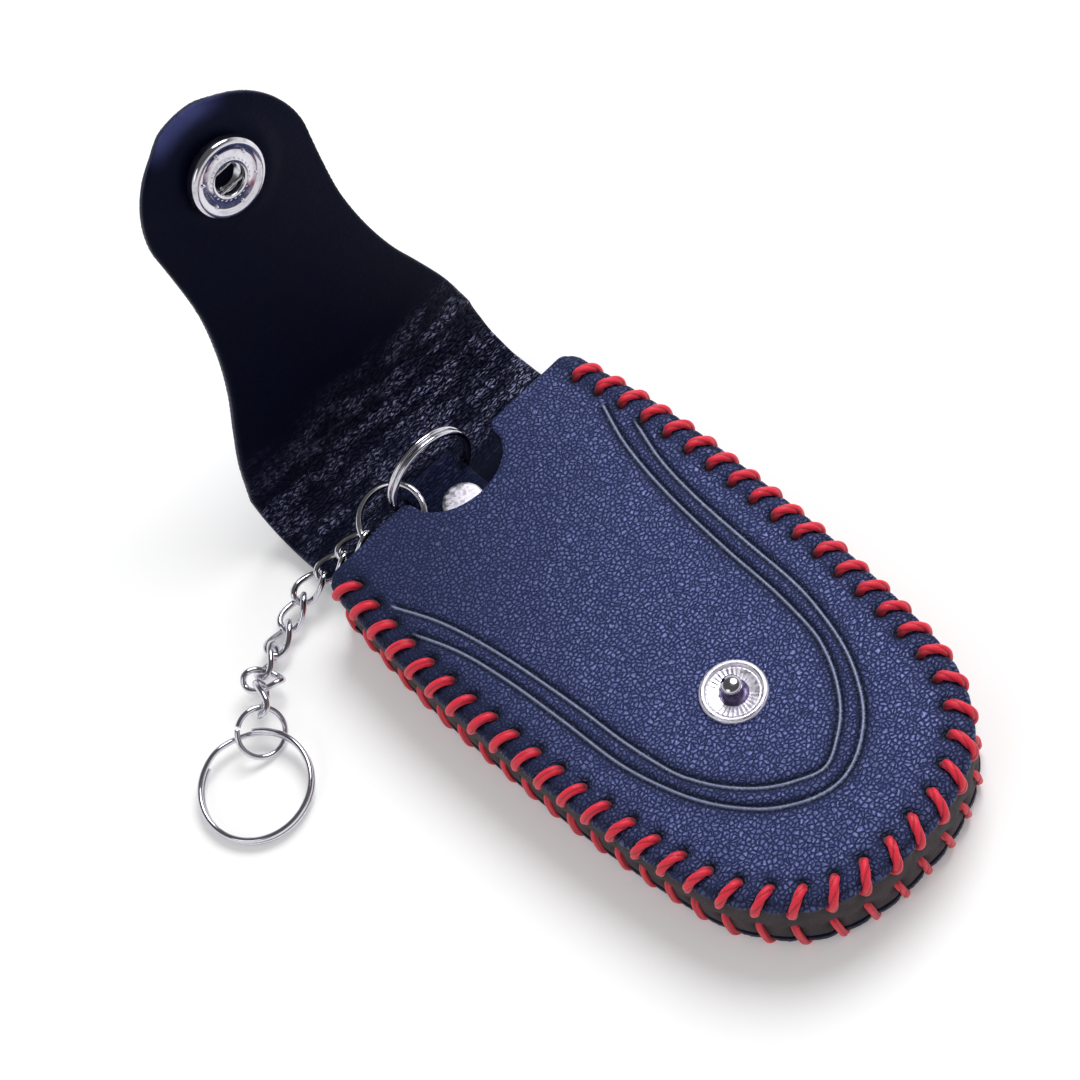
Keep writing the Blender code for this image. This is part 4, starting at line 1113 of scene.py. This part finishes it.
class KEYCOVER_OT_back_and_flap(Piece, bpy.types.Operator):
    """Make the back, the bend and the flap from one piece of leather"""

    bl_idname = "keycover.back_and_flap"
    bl_label = "Back and flap"

    def build(self, scene):
        """Cut the leather flat, thicken it, shape it and fold it."""
        outline = flap_outline()
        shape = cut_sheet(outline, BACK_CELL, EDGE_ROWS)
        thicken(shape)
        flat, inner, edge = measured(shape, outline)
        x, y = flat.T
        along, out = SEAM.nearest(flat)
        in_pouch = y < MOUTH
        dimple = np.where(in_pouch, bell(SEAM.from_hole(along, out)[1], DIMPLE_WIDTH), 0.0)
        curled_rim_highlight = self.curled_rim_highlight(flat, edge)
        lift = self.lift(flat, inner, LEATHER / 2 - rounded(edge, BACK_ROUNDING), out)
        lift += np.where(inner, 0.0, 0.5 * scene.key_cover_leather.pucker * dimple) - RIM_CURL * curled_rim_highlight ** 2
        share_out = np.where(in_pouch, np.clip(out / EDGE_MARGIN, 0.0, 1.0), 0.0)
        draw = EDGE_PULL + STITCH_PULL * bell(SEAM.from_stitch(along, 0.33), 0.8 * MM)
        draw *= share_out ** 2 * ramp(MOUTH - 2 * MM - y, 0.0, 4 * MM)
        moved = flat - SEAM.outwards(along) * draw[:, None]
        move_to(shape, FOLD.lay(moved[:, 0], moved[:, 1], lift))
        made = finish_object("back_and_flap_leather", shape, "Grained navy", "Edge paint", "Flap lining")
        lay_pattern(made, flat)
        # Pale flecks painted on the creases at the root as highlights, brighter to the right
        wear_and_crease_highlight = 0.42 + 0.58 * ramp(x, -12 * MM, 20 * MM)
        wear_and_crease_highlight *= 1 - ramp(np.abs(y - (BEND_FIRST + 6 * MM)), 6 * MM, 17 * MM)
        paint(made, "crease_and_highlight", np.where(inner, wear_and_crease_highlight, 0.0))
        # Painted shade in the stitch dimples
        paint(made, "hollow_shade", np.where(inner, 0.0, 0.7 * dimple))
        # A painted highlight on the curled rim
        paint(made, "curled_rim_highlight", np.where(inner, 0.75 * curled_rim_highlight, 0.0))
        sort_faces(made, inner, 0, 2)
        start, end = (tuple(FOLD.lay([0.0], reach, 0.0)[0]) for reach in BLEND_REACH)
        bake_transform(made)
        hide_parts("back_panel", "flap_bend", "flap")

    def lift(self, flat, inner, half, out):
        """How far each place lies above the leather's middle, with the belly, folds and snap's seat."""
        x, y = flat.T
        belly = ramp(-out, 2.0 * MM, 4.6 * MM) * ramp(MOUTH - 1.5 * MM - y, 0.0, 5 * MM)
        outward = BACK_LOW * belly * (0.92 + 0.06 * ripple(flat, 9 * MM, 2.1))
        wave = WAVE * ripple(flat, 10 * MM, 0.7) * ramp(y, HINGE.y, BEND_LAST)
        root = ramp(y, HINGE.y, BEND_FIRST) * ramp(BEND_LAST + 14 * MM - y, 0.0, 16 * MM)
        folds = FOLD_DEPTH * root * np.sin(y / (0.85 * MM) + 2.2 * np.sin(x / (6 * MM)))
        snap = np.hypot(x, y - (BEND_LAST + SNAP_REACH - FLAP_START))
        seat = SEAT_DEPTH * (bell(snap - SEAT_RIM_RADIUS, 1.5 * MM) - bell(snap, SEAT_RADIUS))
        return np.where(inner, half + seat + folds, -half - outward) + wave

    def curled_rim_highlight(self, flat, edge):
        """How much of the curled rim at the left of the tip each place has; the rim curls back there and is
        painted lighter as a highlight.
        """
        x, y = flat.T
        angle = np.degrees(np.arctan2(y - (BEND_LAST + FLAP_LENGTH - FLAP_TIP_RADIUS), x))
        part = ramp(angle, 58, 82) * (1 - ramp(angle, 104, 128))
        return part * ramp(2.8 * MM - edge, 0.0, 2.6 * MM)


# Gusset
class KEYCOVER_OT_gusset(Piece, bpy.types.Operator):
    """Make the matte side wall between the panels"""

    bl_idname = "keycover.gusset"
    bl_label = "Gusset"

    def build(self, scene):
        """Bend a grid round the stitch line and draw it in where the thread goes through."""
        shape = bmesh.new()
        bmesh.ops.create_grid(shape, x_segments=460, y_segments=16, size=0.5)
        places = places_of(shape) + 0.5
        first = SEAM.LEAD - GUSSET_END
        along = first + places[:, 0] * (SEAM.lengths[-1] - 2 * first)
        height = GUSSET_LOW + places[:, 1] * (GUSSET_HIGH - GUSSET_LOW)
        upper, lower = (
            bell(np.hypot(SEAM.from_stitch(along, part), height - hole), GUSSET_HOLE_WIDTH)
            for part, hole in GUSSET_HOLE_SHARES
        )
        track = bell(SEAM.from_stitch(along, 0.36), 0.7 * MM) * (1 - ramp(height, 4.5 * MM, 6.5 * MM))
        pull = 0.55 * MM * lower + 0.5 * MM * upper + 0.25 * MM * track
        pull -= 0.10 * MM * np.sin(math.pi * places[:, 1])
        wall = SEAM.at(along, GUSSET_OUT - pull)
        wall[:, 1] = np.minimum(wall[:, 1], MOUTH - GUSSET_BELOW_MOUTH)
        move_to(shape, np.column_stack([wall, height]))
        made = finish_object("gusset_leather", shape, "Split leather")
        # Painted shade in the pits at the holes and along the thread's track
        paint(made, "hollow_shade", np.clip(0.9 * upper + 0.9 * lower + 0.4 * track, 0.0, 1.0))
        self.face_outwards(made)
        wall_thickness = made.modifiers.new("Wall", "SOLIDIFY")
        wall_thickness.thickness = GUSSET_WALL * 0.9
        wall_thickness.offset = -1.0
        stands_for(made, "pouch", "gusset")

    def face_outwards(self, thing):
        """Turn the faces so that their normals point out of the pouch."""
        middle = thing.data.polygons[len(thing.data.polygons) // 2]
        if middle.normal.dot(middle.center - Vector((0.0, 0.0, middle.center.z))) < 0:
            thing.data.flip_normals()


# Thread, each knot by its share of a stitch and its millimetres out and up
FRONT_THREAD_PATH = (
    (0.0, -0.1, 10.55), (0.0, -0.1, 12.2), (0.004, 0.1, 13.1), (0.035, 0.6, 13.72),
    (0.115, 1.35, 13.83), (0.20, 2.1, 13.58), (0.275, 2.8, 13.05), (0.325, 3.17, 12.4),
    (0.36, 3.22, 11.7), (0.395, 3.02, 11.1), (0.44, 2.4, 10.7), (0.50, 1.6, 10.5),
    (0.60, 0.8, 10.5),
)
BACK_THREAD_PATH = (
    (0.0, 0.0, 6.2), (0.0, 0.0, 2.2), (0.01, 0.3, 1.15), (0.06, 0.9, 0.68), (0.14, 1.7, 0.64),
    (0.22, 2.4, 0.78), (0.28, 2.82, 1.25), (0.32, 3.0, 2.0), (0.35, 3.02, 3.0), (0.38, 3.0, 4.0),
    (0.415, 2.9, 5.0), (0.45, 2.5, 5.8), (0.50, 1.7, 6.2), (0.60, 0.8, 6.2),
)
STRAND_SIDES = 24


class KEYCOVER_OT_threads(Piece, bpy.types.Operator):
    """Whip the red thread over the edges of both panels"""

    bl_idname = "keycover.threads"
    bl_label = "Seam threads"

    def build(self, scene):
        """Run each thread through its holes from right to left."""
        settings = scene.key_cover_thread
        for which, path, size in (("front", FRONT_THREAD_PATH, 1.0), ("back", BACK_THREAD_PATH, 0.84)):
            self.whip(which, path, settings.width / 2 * size, settings.lay)

    def whip(self, which, path, half, lay):
        """One thread: three strands laid together, wound through every hole."""
        knots = []
        for stitch in range(STITCHES):
            for part, out, height in path:
                x, y = SEAM.stitch(stitch + part, out * MM)
                knots.append(Vector((x, y, height * MM)))
        points = smooth(knots, 3)
        runs = [(after - before).length for before, after in zip(points, points[1:])]
        tilts = np.concatenate([[0.0], np.cumsum(runs)]) / lay * math.tau
        section = self.section(half)
        shape = tube(points, profile=section, tilts=tilts)
        bpy.data.objects.remove(section, do_unlink=True)
        places = places_of(shape)
        around = np.arange(len(places)) % STRAND_SIDES * 1.5 * math.tau / STRAND_SIDES
        inside = SEAM.nearest(places[:, :2])[1]
        made = finish_object(f"{which}_thread", shape, "Waxed thread")
        # Painted shade in the valleys between the strands
        paint(made, "strand_valley_shade", 1 - np.clip(np.abs(np.cos(around)) / 0.5, 0.0, 1.0))
        # Painted shade where the thread goes into the leather
        paint(made, "hollow_shade", 1 - ramp(inside, -0.5 * MM, 0.6 * MM))
        stands_for(made, "pouch", f"{which}_seam_thread")

    def section(self, half):
        """The thread's section, with a valley between each two strands."""
        curve = bpy.data.curves.new("strands", "CURVE")
        curve.dimensions = "2D"
        spline = curve.splines.new("POLY")
        spline.points.add(STRAND_SIDES - 1)
        for i, point in enumerate(spline.points):
            angle = math.tau * i / STRAND_SIDES
            radius = half * (0.80 + 0.20 * abs(math.cos(1.5 * angle)) ** 0.7)
            point.co = (radius * math.cos(angle), radius * math.sin(angle), 0.0, 1.0)
        spline.use_cyclic_u = True
        made = bpy.data.objects.new("strands", curve)
        bpy.context.scene.collection.objects.link(made)
        return made


# Strap
def strap_knots(shares):
    """Places in the strap's side view, from shares of its length and height."""
    return [Vector((STRAP_FOLD - y * STRAP_TAIL, STRAP_LOW + z * 2 * FOLD_RADIUS)) for y, z in shares]


class KEYCOVER_OT_strap(Piece, bpy.types.Operator):
    """Make the folded strap, its rivet and the rivet's cap"""

    bl_idname = "keycover.strap"
    bl_label = "Strap"

    def build(self, scene):
        """Fold a long sheet through the ring, and set the rivet."""
        path = smooth(strap_knots(STRAP_BOTTOM_SHARES), 8)
        path += arc((STRAP_FOLD, STRAP_LOW + FOLD_RADIUS), FOLD_RADIUS, -90, 90, 24)
        path += smooth(strap_knots(STRAP_TOP_SHARES), 8)
        pairs = zip(path[1:], path)
        line = Line(path[:1] + [point for point, last in pairs if (point - last).length > GAP / 30])
        end = line.lengths[-1]
        right, top = STRAP_WIDTH / 2 - STRAP_CORNER, end - STRAP_CORNER
        corners = ((right, STRAP_CORNER), (right, top), (-right, top), (-right, STRAP_CORNER))
        outline = []
        for turn, corner in enumerate(corners, -1):
            outline += arc(corner, STRAP_CORNER, 90 * turn, 90 * turn + 90, 5)
        shape = cut_sheet(outline, STRAP_CELL, STRAP_ROWS)
        thicken(shape)
        flat, inner, edge = measured(shape, outline)
        across, along = flat.T
        thick = STRAP_LEATHER / 2 - rounded(edge, STRAP_ROUNDING)
        y = line.at(along)[:, 0]
        press = STRAP_PRESS * bell(np.hypot(across, y - RIVET_Y), 3.9 * MM)
        laid = line.at(along, np.where(inner, thick, press - thick))
        move_to(shape, np.column_stack([across + STRAP_X, laid]))
        bmesh.ops.recalc_face_normals(shape, faces=shape.faces)
        made = finish_object("strap_leather", shape, "Strap leather", "Edge paint")
        lay_pattern(made, flat)
        # Pale flecks painted on the creases round the fold as highlights
        paint(made, "crease_and_highlight", 0.9 * bell(y - STRAP_FOLD, 4.5 * MM) + 0.25)
        sort_faces(made, inner, 0, 0)
        stands_for(made, "pouch", "strap")
        self.rivet()

    def rivet(self):
        """The rivet's head and post, and the cap below."""
        head = STRAP_LOW + 2 * FOLD_RADIUS + STRAP_LEATHER / 2 + GAP
        cap = STRAP_LOW + 0.7 * 2 * FOLD_RADIUS - STRAP_LEATHER / 2 - GAP
        head_knots = (
            (0.0, head + RIVET_HEAD), (RIVET_RADIUS * 0.86, head + RIVET_HEAD * 0.94),
            (RIVET_RADIUS, head + RIVET_HEAD * 0.55), (RIVET_RADIUS, head - GAP),
            (RIVET_POST, head - GAP), (RIVET_POST, cap + GAP), (0.0, cap + GAP),
        )
        cap_knots = (
            (0.0, cap), (RIVET_CAP_RADIUS, cap), (RIVET_CAP_RADIUS, cap - RIVET_HEAD / 2),
            (RIVET_POST, cap - RIVET_HEAD), (0.0, cap - RIVET_HEAD),
        )
        # The rivet's head is nickel painted bright as a highlight
        for name, knots, rounding, node, plate in (
            ("rivet_head", head_knots, 0.35 * MM, "strap_rivet", "Bright plate"),
            ("rivet_cap", cap_knots, 0.25 * MM, "strap_rivet_cap", "Nickel plate"),
        ):
            place = Matrix.Translation((STRAP_X, RIVET_Y, 0.0))
            shape = turned(rounded_profile(knots, rounding), 64)
            metal_piece(name, shape, place, "pouch", node, plate)


# Snap
STUD_PLACE = Matrix.Translation((0.0, STUD_Y, 0.0))


def flap_place():
    """The snap's placement on the flap, with Z out of the inner face."""
    turn = Matrix.Translation(HINGE) @ Matrix.Rotation(FLAP_LEAN, 4, "X")
    return turn @ Matrix.Translation((0.0, SNAP_REACH, 0.0))


def ribbed(shape, count, inner, outer, depth):
    """Press radial ribs into a turned piece between two radii."""
    for vert in shape.verts:
        radius = math.hypot(vert.co.x, vert.co.y)
        if inner < radius < outer:
            angle = math.atan2(vert.co.y, vert.co.x)
            fade = math.sin(math.pi * (radius - inner) / (outer - inner))
            vert.co.z += depth * fade * math.cos(count * angle)


class KEYCOVER_OT_snap(Piece, bpy.types.Operator):
    """Make the stud on the pouch and the socket and cap on the flap"""

    bl_idname = "keycover.snap"
    bl_label = "Snap"

    def build(self, scene):
        """Turn the four pieces and bend the spring."""
        self.stud(scene.key_cover_metal.serrations)
        self.eyelet()
        self.socket()
        self.cap()
        self.spring()

    def stud(self, serrations):
        """A rolled dish with ribs and a ball post in a ring painted dark as shade, in nickel painted bright
        as a highlight.
        """
        low, top = FRONT_HIGH + GAP, FRONT_HIGH + STUD_HEIGHT
        floor = FRONT_HIGH + STUD_FLOOR
        dish = floor + 0.05 * MM
        profile = [(r * BALL_RADIUS, top + z * BALL_HEIGHT) for r, z in BALL_SHARES]
        profile += [(1.28 * MM, floor + 0.2 * MM), (1.45 * MM, floor), (1.9 * MM, floor)]
        profile.append((RECESS_RADIUS, dish))
        for step in range(1, 9):
            part = step / 8
            profile.append((RECESS_RADIUS + DISH_WIDTH * part, dish + DISH_RISE * part ** 1.4))
        profile += [tuple(point) for point in arc((4.45 * MM, top - 0.42 * MM), 0.55 * MM, 170, -60, 12)]
        profile += [(STUD_RADIUS * 0.9, low), (0.0, low)]
        shape = turned(profile, serrations * 5)
        ribbed(shape, serrations, 2.15 * MM, 4.05 * MM, RIB_DEPTH)
        bmesh.ops.transform(shape, matrix=STUD_PLACE, verts=shape.verts)
        # The ring round the ball painted dark as shade, the dish and rim painted bright as a highlight
        made = finish_object("stud", shape, "Bright plate", "Dark recess", "Nickel plate")
        for face in made.data.polygons:
            radius = math.hypot(face.center.x, face.center.y - STUD_Y)
            if 1.2 * MM < radius < RECESS_RADIUS and face.center.z < top + 0.3 * MM:
                face.material_index = 1
            elif radius < RECESS_RADIUS:
                face.material_index = 2
        stands_for(made, "pouch", "snap_stud")

    def eyelet(self):
        """The eyelet inside the pouch."""
        flange = FRONT_LOW - GAP
        knots = (
            (0.0, FRONT_HIGH), (EYELET_BARREL, FRONT_HIGH), (EYELET_BARREL, flange),
            (EYELET_RADIUS, flange), (EYELET_RADIUS, flange - SHEET), (0.0, flange - SHEET),
        )
        shape = turned(rounded_profile(knots, 0.12 * MM), 64)
        metal_piece("eyelet", shape, STUD_PLACE, "pouch", "snap_eyelet")

    def socket(self):
        """A rolled ring with beads round its mouth and plain dots on its face."""
        inside = -FLAP_OFFSET + LEATHER / 2 + SNAP_GAP
        face = -FLAP_OFFSET + LEATHER / 2 + SOCKET_HEIGHT
        knots = (
            (SOCKET_MOUTH, face - 0.35 * MM), (SOCKET_MOUTH + 0.1 * MM, face - 0.12 * MM),
            (SOCKET_MOUTH + 0.5 * MM, face - 0.05 * MM), (3.6 * MM, face - 0.22 * MM),
            (4.7 * MM, face - 0.25 * MM), (5.2 * MM, face - 0.02 * MM),
            (5.75 * MM, face), (SOCKET_RADIUS, face - 0.45 * MM),
            (SOCKET_RADIUS, inside + 0.4 * MM), (SOCKET_RADIUS - 0.35 * MM, inside),
            (SHANK_RADIUS + GAP, inside), (SHANK_RADIUS + GAP, inside + SHEET),
            (SOCKET_RADIUS - SHEET, inside + SHEET), (SOCKET_RADIUS - SHEET, face - 0.9 * MM),
            (SOCKET_MOUTH, face - 0.75 * MM), (SOCKET_MOUTH, face - 0.35 * MM),
        )
        shape = turned(rounded_profile(knots, 0.28 * MM)[:-1], 96, closed=True)
        for radius, count, size in SOCKET_BEADS:
            for step in range(count):
                where = round_point(radius, 360 * (step + 0.5) / count, face - 0.17 * MM)
                matrix = Matrix.Translation(where) @ Matrix.Diagonal((1.0, 1.0, 0.75, 1.0))
                bmesh.ops.create_icosphere(shape, subdivisions=2, radius=size, matrix=matrix)
        metal_piece("socket", shape, flap_place(), "flap", "snap_socket")

    def cap(self):
        """The domed cap on the flap's outer face, with its hollow shank."""
        brim = -FLAP_OFFSET - LEATHER / 2 - SNAP_GAP
        flare = -FLAP_OFFSET + LEATHER / 2 + 2 * SNAP_GAP + SHEET
        bore = SHANK_RADIUS - SHEET
        lip = SHANK_RADIUS + GAP + SHEET
        profile = [
            (0.0, brim), (bore, brim), (bore, flare + SHEET), (lip, flare + SHEET), (lip, flare),
            (SHANK_RADIUS, flare), (SHANK_RADIUS, brim + 0.02 * MM),
            (CAP_RADIUS * 0.97, brim + 0.02 * MM), (CAP_RADIUS, brim - 0.12 * MM),
        ]
        for step in range(1, 17):
            angle = math.pi / 2 * step / 16
            crown = SNAP_GAP + (CAP_CROWN - SNAP_GAP) * math.sin(angle)
            profile.append((CAP_RADIUS * math.cos(angle) ** 0.8, brim - crown))
        metal_piece("cap", turned(profile, 80), flap_place(), "flap", "snap_cap")

    def spring(self):
        """The long loop of wire across the socket's mouth."""
        height = -FLAP_OFFSET + LEATHER / 2 + SPRING_LIFT + 2 * SHEET + SPRING_WIRE
        straight = SPRING_LENGTH / 2 - SPRING_WIRE - SPRING_HALF_WIDTH
        ends = arc((0.0, straight), SPRING_HALF_WIDTH, 0, 180, 24)
        ends += arc((0.0, -straight), SPRING_HALF_WIDTH, 180, 360, 24)
        place = flap_place()
        points = [place @ Vector((point.y, point.x, height)) for point in ends]
        shape = tube(points, SPRING_WIRE, 3, closed=True)
        metal_piece("spring", shape, Matrix(), "flap", "snap_spring", "Spring steel")


# Rings and chain
def direction(heading, climb):
    """A unit vector from a heading and a climb, both in degrees."""
    flat = math.cos(math.radians(climb))
    east, north = math.cos(math.radians(heading)), math.sin(math.radians(heading))
    return Vector((flat * east, flat * north, math.sin(math.radians(climb))))


def axes(first, second, third, origin):
    """A placement from three axes and an origin."""
    return Matrix.Translation(origin) @ Matrix((first, second, third)).transposed().to_4x4()


def leaning(origin, lean):
    """The placement of a ring whose axis leans, by a tilt and a heading."""
    axis = direction(lean[1], 90 - lean[0])
    first = Vector((0.0, 1.0, 0.0)).cross(axis).normalized()
    return axes(first, axis.cross(first), axis, origin)


def rolled(origin, heading, climb, roll):
    """The placement of a link."""
    along = direction(heading, climb)
    level = Vector((0.0, 0.0, 1.0)).cross(along).normalized()
    side = Matrix.Rotation(math.radians(roll), 3, along) @ level
    return axes(along, side, along.cross(side), origin)


def on_ring(place, radius, angle):
    """The point of a ring's wire at an angle."""
    return place @ round_point(radius, angle)


def through(point, radius, lean, start):
    """The placement of a leaning ring whose wire goes through a point at the angle of its start."""
    return leaning(point - on_ring(leaning((0.0, 0.0, 0.0), lean), radius, start), lean)


def split_coil(radius, turn):
    """Two flat turns of wire side by side, with the jog from one to the other."""
    first = 360 - END_ANGLE - JOG_ANGLE
    last = 360 + first - END_ANGLE
    points = []
    for step in range(201):
        angle = last * step / 200
        part = min(max((angle - first) / JOG_ANGLE, 0.0), 1.0)
        height = COIL_SPACING * (part * part * (3 - 2 * part) - 0.5)
        points.append(round_point(radius, angle + turn, height))
    return points


def jump_loop(radius, slit):
    """One turn of wire with a slit between its ends."""
    half = math.degrees(JUMP_SLIT / 2 / radius)
    return [point.to_3d() for point in arc((0.0, 0.0), radius, slit + half, slit + 360 - half, 96)]


def link_loop():
    """One link's wire: an oval loop given a quarter turn along its length."""
    long_half, side_half = LINK_LENGTH / 2 - LINK_WIRE, LINK_WIDTH / 2 - LINK_WIRE
    points = []
    for step in range(72):
        angle = math.tau * step / 72
        along = math.copysign(abs(math.cos(angle)) ** LINK_SQUARENESS, math.cos(angle))
        across = math.copysign(abs(math.sin(angle)) ** LINK_SQUARENESS, math.sin(angle))
        twist = math.radians(LINK_TWIST) * along
        side = side_half * across
        points.append(Vector((long_half * along, side * math.cos(twist), side * math.sin(twist))))
    return points


def wire(name, points, radius, place, closed=False):
    """A ring or link in its place."""
    metal_piece(name + "_wire", tube(points, radius, WIRE_SEGMENTS, closed), place, name, name)


class KEYCOVER_OT_rings(Piece, bpy.types.Operator):
    """Make the strap ring, the jump rings, the chain and the key ring"""

    bl_idname = "keycover.rings"
    bl_label = "Rings and chain"

    def build(self, scene):
        """Hang each ring and link on the one before."""
        centre = Vector((
            STRAP_X + STRAP_RING_SHARES[0] * STRAP_RING_RADIUS,
            MOUTH + STRAP_RING_SHARES[1] * STRAP_RING_RADIUS,
            STRAP_LOW + STRAP_LEATHER / 2 + GAP + RING_WIRE + STRAP_RING_RADIUS,
        ))
        upright = Matrix.Translation(centre) @ Matrix.Rotation(math.radians(90), 4, "X")
        wire("strap_ring", split_coil(STRAP_RING_RADIUS, STRAP_RING_TURN), RING_WIRE, upright)
        hang = on_ring(upright, STRAP_RING_RADIUS, CHAIN_RING_HANG)
        lying = leaning(hang + CHAIN_RING_RADIUS * Vector(CHAIN_RING_SHARES), CHAIN_RING_LEAN)
        wire("chain_ring", jump_loop(CHAIN_RING_RADIUS, CHAIN_RING_SLIT), CHAIN_RING_WIRE, lying)
        middle = on_ring(lying, CHAIN_RING_RADIUS, CHAIN_START)
        for number, lay in enumerate(CHAIN_LAY_SHARES, 1):
            middle = middle + lay[0] * LINK_PITCH * direction(lay[1], lay[2])
            wire(f"chain_link_{number}", link_loop(), LINK_WIRE, rolled(middle, *lay[3:]), True)
        near = middle + END_RING_LAY[0] * LINK_PITCH * direction(*END_RING_LAY[1:])
        ring = through(near, END_RING_RADIUS, END_RING_LEAN, END_RING_START)
        wire("end_ring", jump_loop(END_RING_RADIUS, END_RING_SLIT), RING_WIRE, ring)
        inside = ring.translation + END_RING_RADIUS * Vector(KEY_RING_SHARES)
        hanging = through(inside, KEY_RING_RADIUS, KEY_RING_LEAN, KEY_RING_START)
        wire("key_ring", split_coil(KEY_RING_RADIUS, KEY_RING_TURN), RING_WIRE, hanging)


# Stage
def area_light(name, place, size, power):
    """A soft round lamp that looks at the pouch."""
    lamp = bpy.data.lights.new(name, "AREA")
    lamp.shape = "DISK"
    lamp.size = size
    lamp.energy = power
    thing = bpy.data.objects.new(name, lamp)
    thing.location = place
    thing.rotation_euler = (-Vector(place)).to_track_quat("-Z", "Y").to_euler()
    bpy.context.scene.collection.objects.link(thing)


def world_light(strength):
    """A plain soft light, a white background, and a room for metal: dark overhead, white low down."""
    world = bpy.data.worlds.new("Studio")
    world.use_nodes = True
    bpy.context.scene.world = world
    world.node_tree.nodes.clear()
    nodes = Nodes(world.node_tree)
    rays = nodes.add("ShaderNodeLightPath").outputs
    way = nodes.add("ShaderNodeTexCoord").outputs["Generated"]
    height = nodes.add("ShaderNodeSeparateXYZ", Vector=way).outputs["Z"]
    white, dark, darkness = ROOM_SHARES
    room = nodes.span(height, white, dark, 1.0, darkness)
    seen = nodes.math("MAXIMUM", rays["Is Camera Ray"], rays["Is Transmission Ray"])
    mirrored_light = nodes.mix(rays["Is Glossy Ray"], strength, room, "FLOAT")
    level = nodes.mix(seen, mirrored_light, 1.0, "FLOAT")
    background = nodes.add("ShaderNodeBackground", Color=(1.0, 1.0, 1.0), Strength=level)
    nodes.add("ShaderNodeOutputWorld", Surface=background.outputs[0])


class KEYCOVER_OT_stage(Piece, bpy.types.Operator):
    """Set up the camera, floor and lights"""

    bl_idname = "keycover.stage"
    bl_label = "Stage"

    def build(self, scene):
        """Place the camera where the picture was taken from, and light the floor."""
        settings = scene.key_cover_stage
        lens = bpy.data.cameras.new("Camera")
        lens.lens = settings.lens
        lens.sensor_width = 36.0
        lens.clip_start, lens.clip_end = 0.01, 10.0
        camera = bpy.data.objects.new("Camera", lens)
        right, down, forward = (Vector(axis) for axis in (CAMERA_RIGHT, CAMERA_DOWN, CAMERA_FORWARD))
        turn = Matrix((right, -down, -forward)).transposed()
        shift = Vector(CAMERA_SHIFT)
        place = -(right * shift.x + down * shift.y + forward * shift.z) + Vector((0.0, 0.0, FRONT_HIGH))
        camera.matrix_world = Matrix.Translation(place) @ turn.to_4x4()
        scene.collection.objects.link(camera)
        scene.camera = camera
        world_light(settings.light)
        for name, place, size, part in LAMP_SHARES:
            area_light(name, place, size, settings.key * part)
        self.floor()
        scene.view_settings.view_transform = "Standard"

    def floor(self):
        """A wide pale floor."""
        shape = bmesh.new()
        bmesh.ops.create_grid(shape, x_segments=1, y_segments=1, size=FLOOR_HALF_WIDTH)
        finish_object("floor", shape, "Floor")


# Add-on
PIECES = (
    KEYCOVER_OT_stage,
    KEYCOVER_OT_front_panel,
    KEYCOVER_OT_back_and_flap,
    KEYCOVER_OT_gusset,
    KEYCOVER_OT_threads,
    KEYCOVER_OT_strap,
    KEYCOVER_OT_snap,
    KEYCOVER_OT_rings,
)
GROUPS = {
    "key_cover_leather": KeyCoverLeather,
    "key_cover_thread": KeyCoverThread,
    "key_cover_metal": KeyCoverMetal,
    "key_cover_stage": KeyCoverStage,
}


class KEYCOVER_PT_panel(bpy.types.Panel):
    """The key cover's pieces and settings"""

    bl_idname = "KEYCOVER_PT_panel"
    bl_label = "Key cover"
    bl_space_type = "VIEW_3D"
    bl_region_type = "UI"
    bl_category = "Key cover"

    def draw(self, context):
        """List the settings, then the pieces."""
        for name, group in GROUPS.items():
            settings = getattr(context.scene, name)
            for field in group.__annotations__:
                self.layout.prop(settings, field)
        for piece in PIECES:
            self.layout.operator(piece.bl_idname)


def register():
    """Register the settings, the pieces and the panel."""
    for name, group in GROUPS.items():
        bpy.utils.register_class(group)
        setattr(bpy.types.Scene, name, bpy.props.PointerProperty(type=group))
    for kind in (*PIECES, KEYCOVER_PT_panel):
        bpy.utils.register_class(kind)


def unregister():
    """Remove what register added."""
    for kind in (KEYCOVER_PT_panel, *reversed(PIECES)):
        bpy.utils.unregister_class(kind)
    for name, group in reversed(GROUPS.items()):
        delattr(bpy.types.Scene, name)
        bpy.utils.unregister_class(group)


def main():
    """Build every piece."""
    register()
    for piece in PIECES:
        group, name = piece.bl_idname.split(".")
        getattr(getattr(bpy.ops, group), name)()


if __name__ == "__main__":
    main()
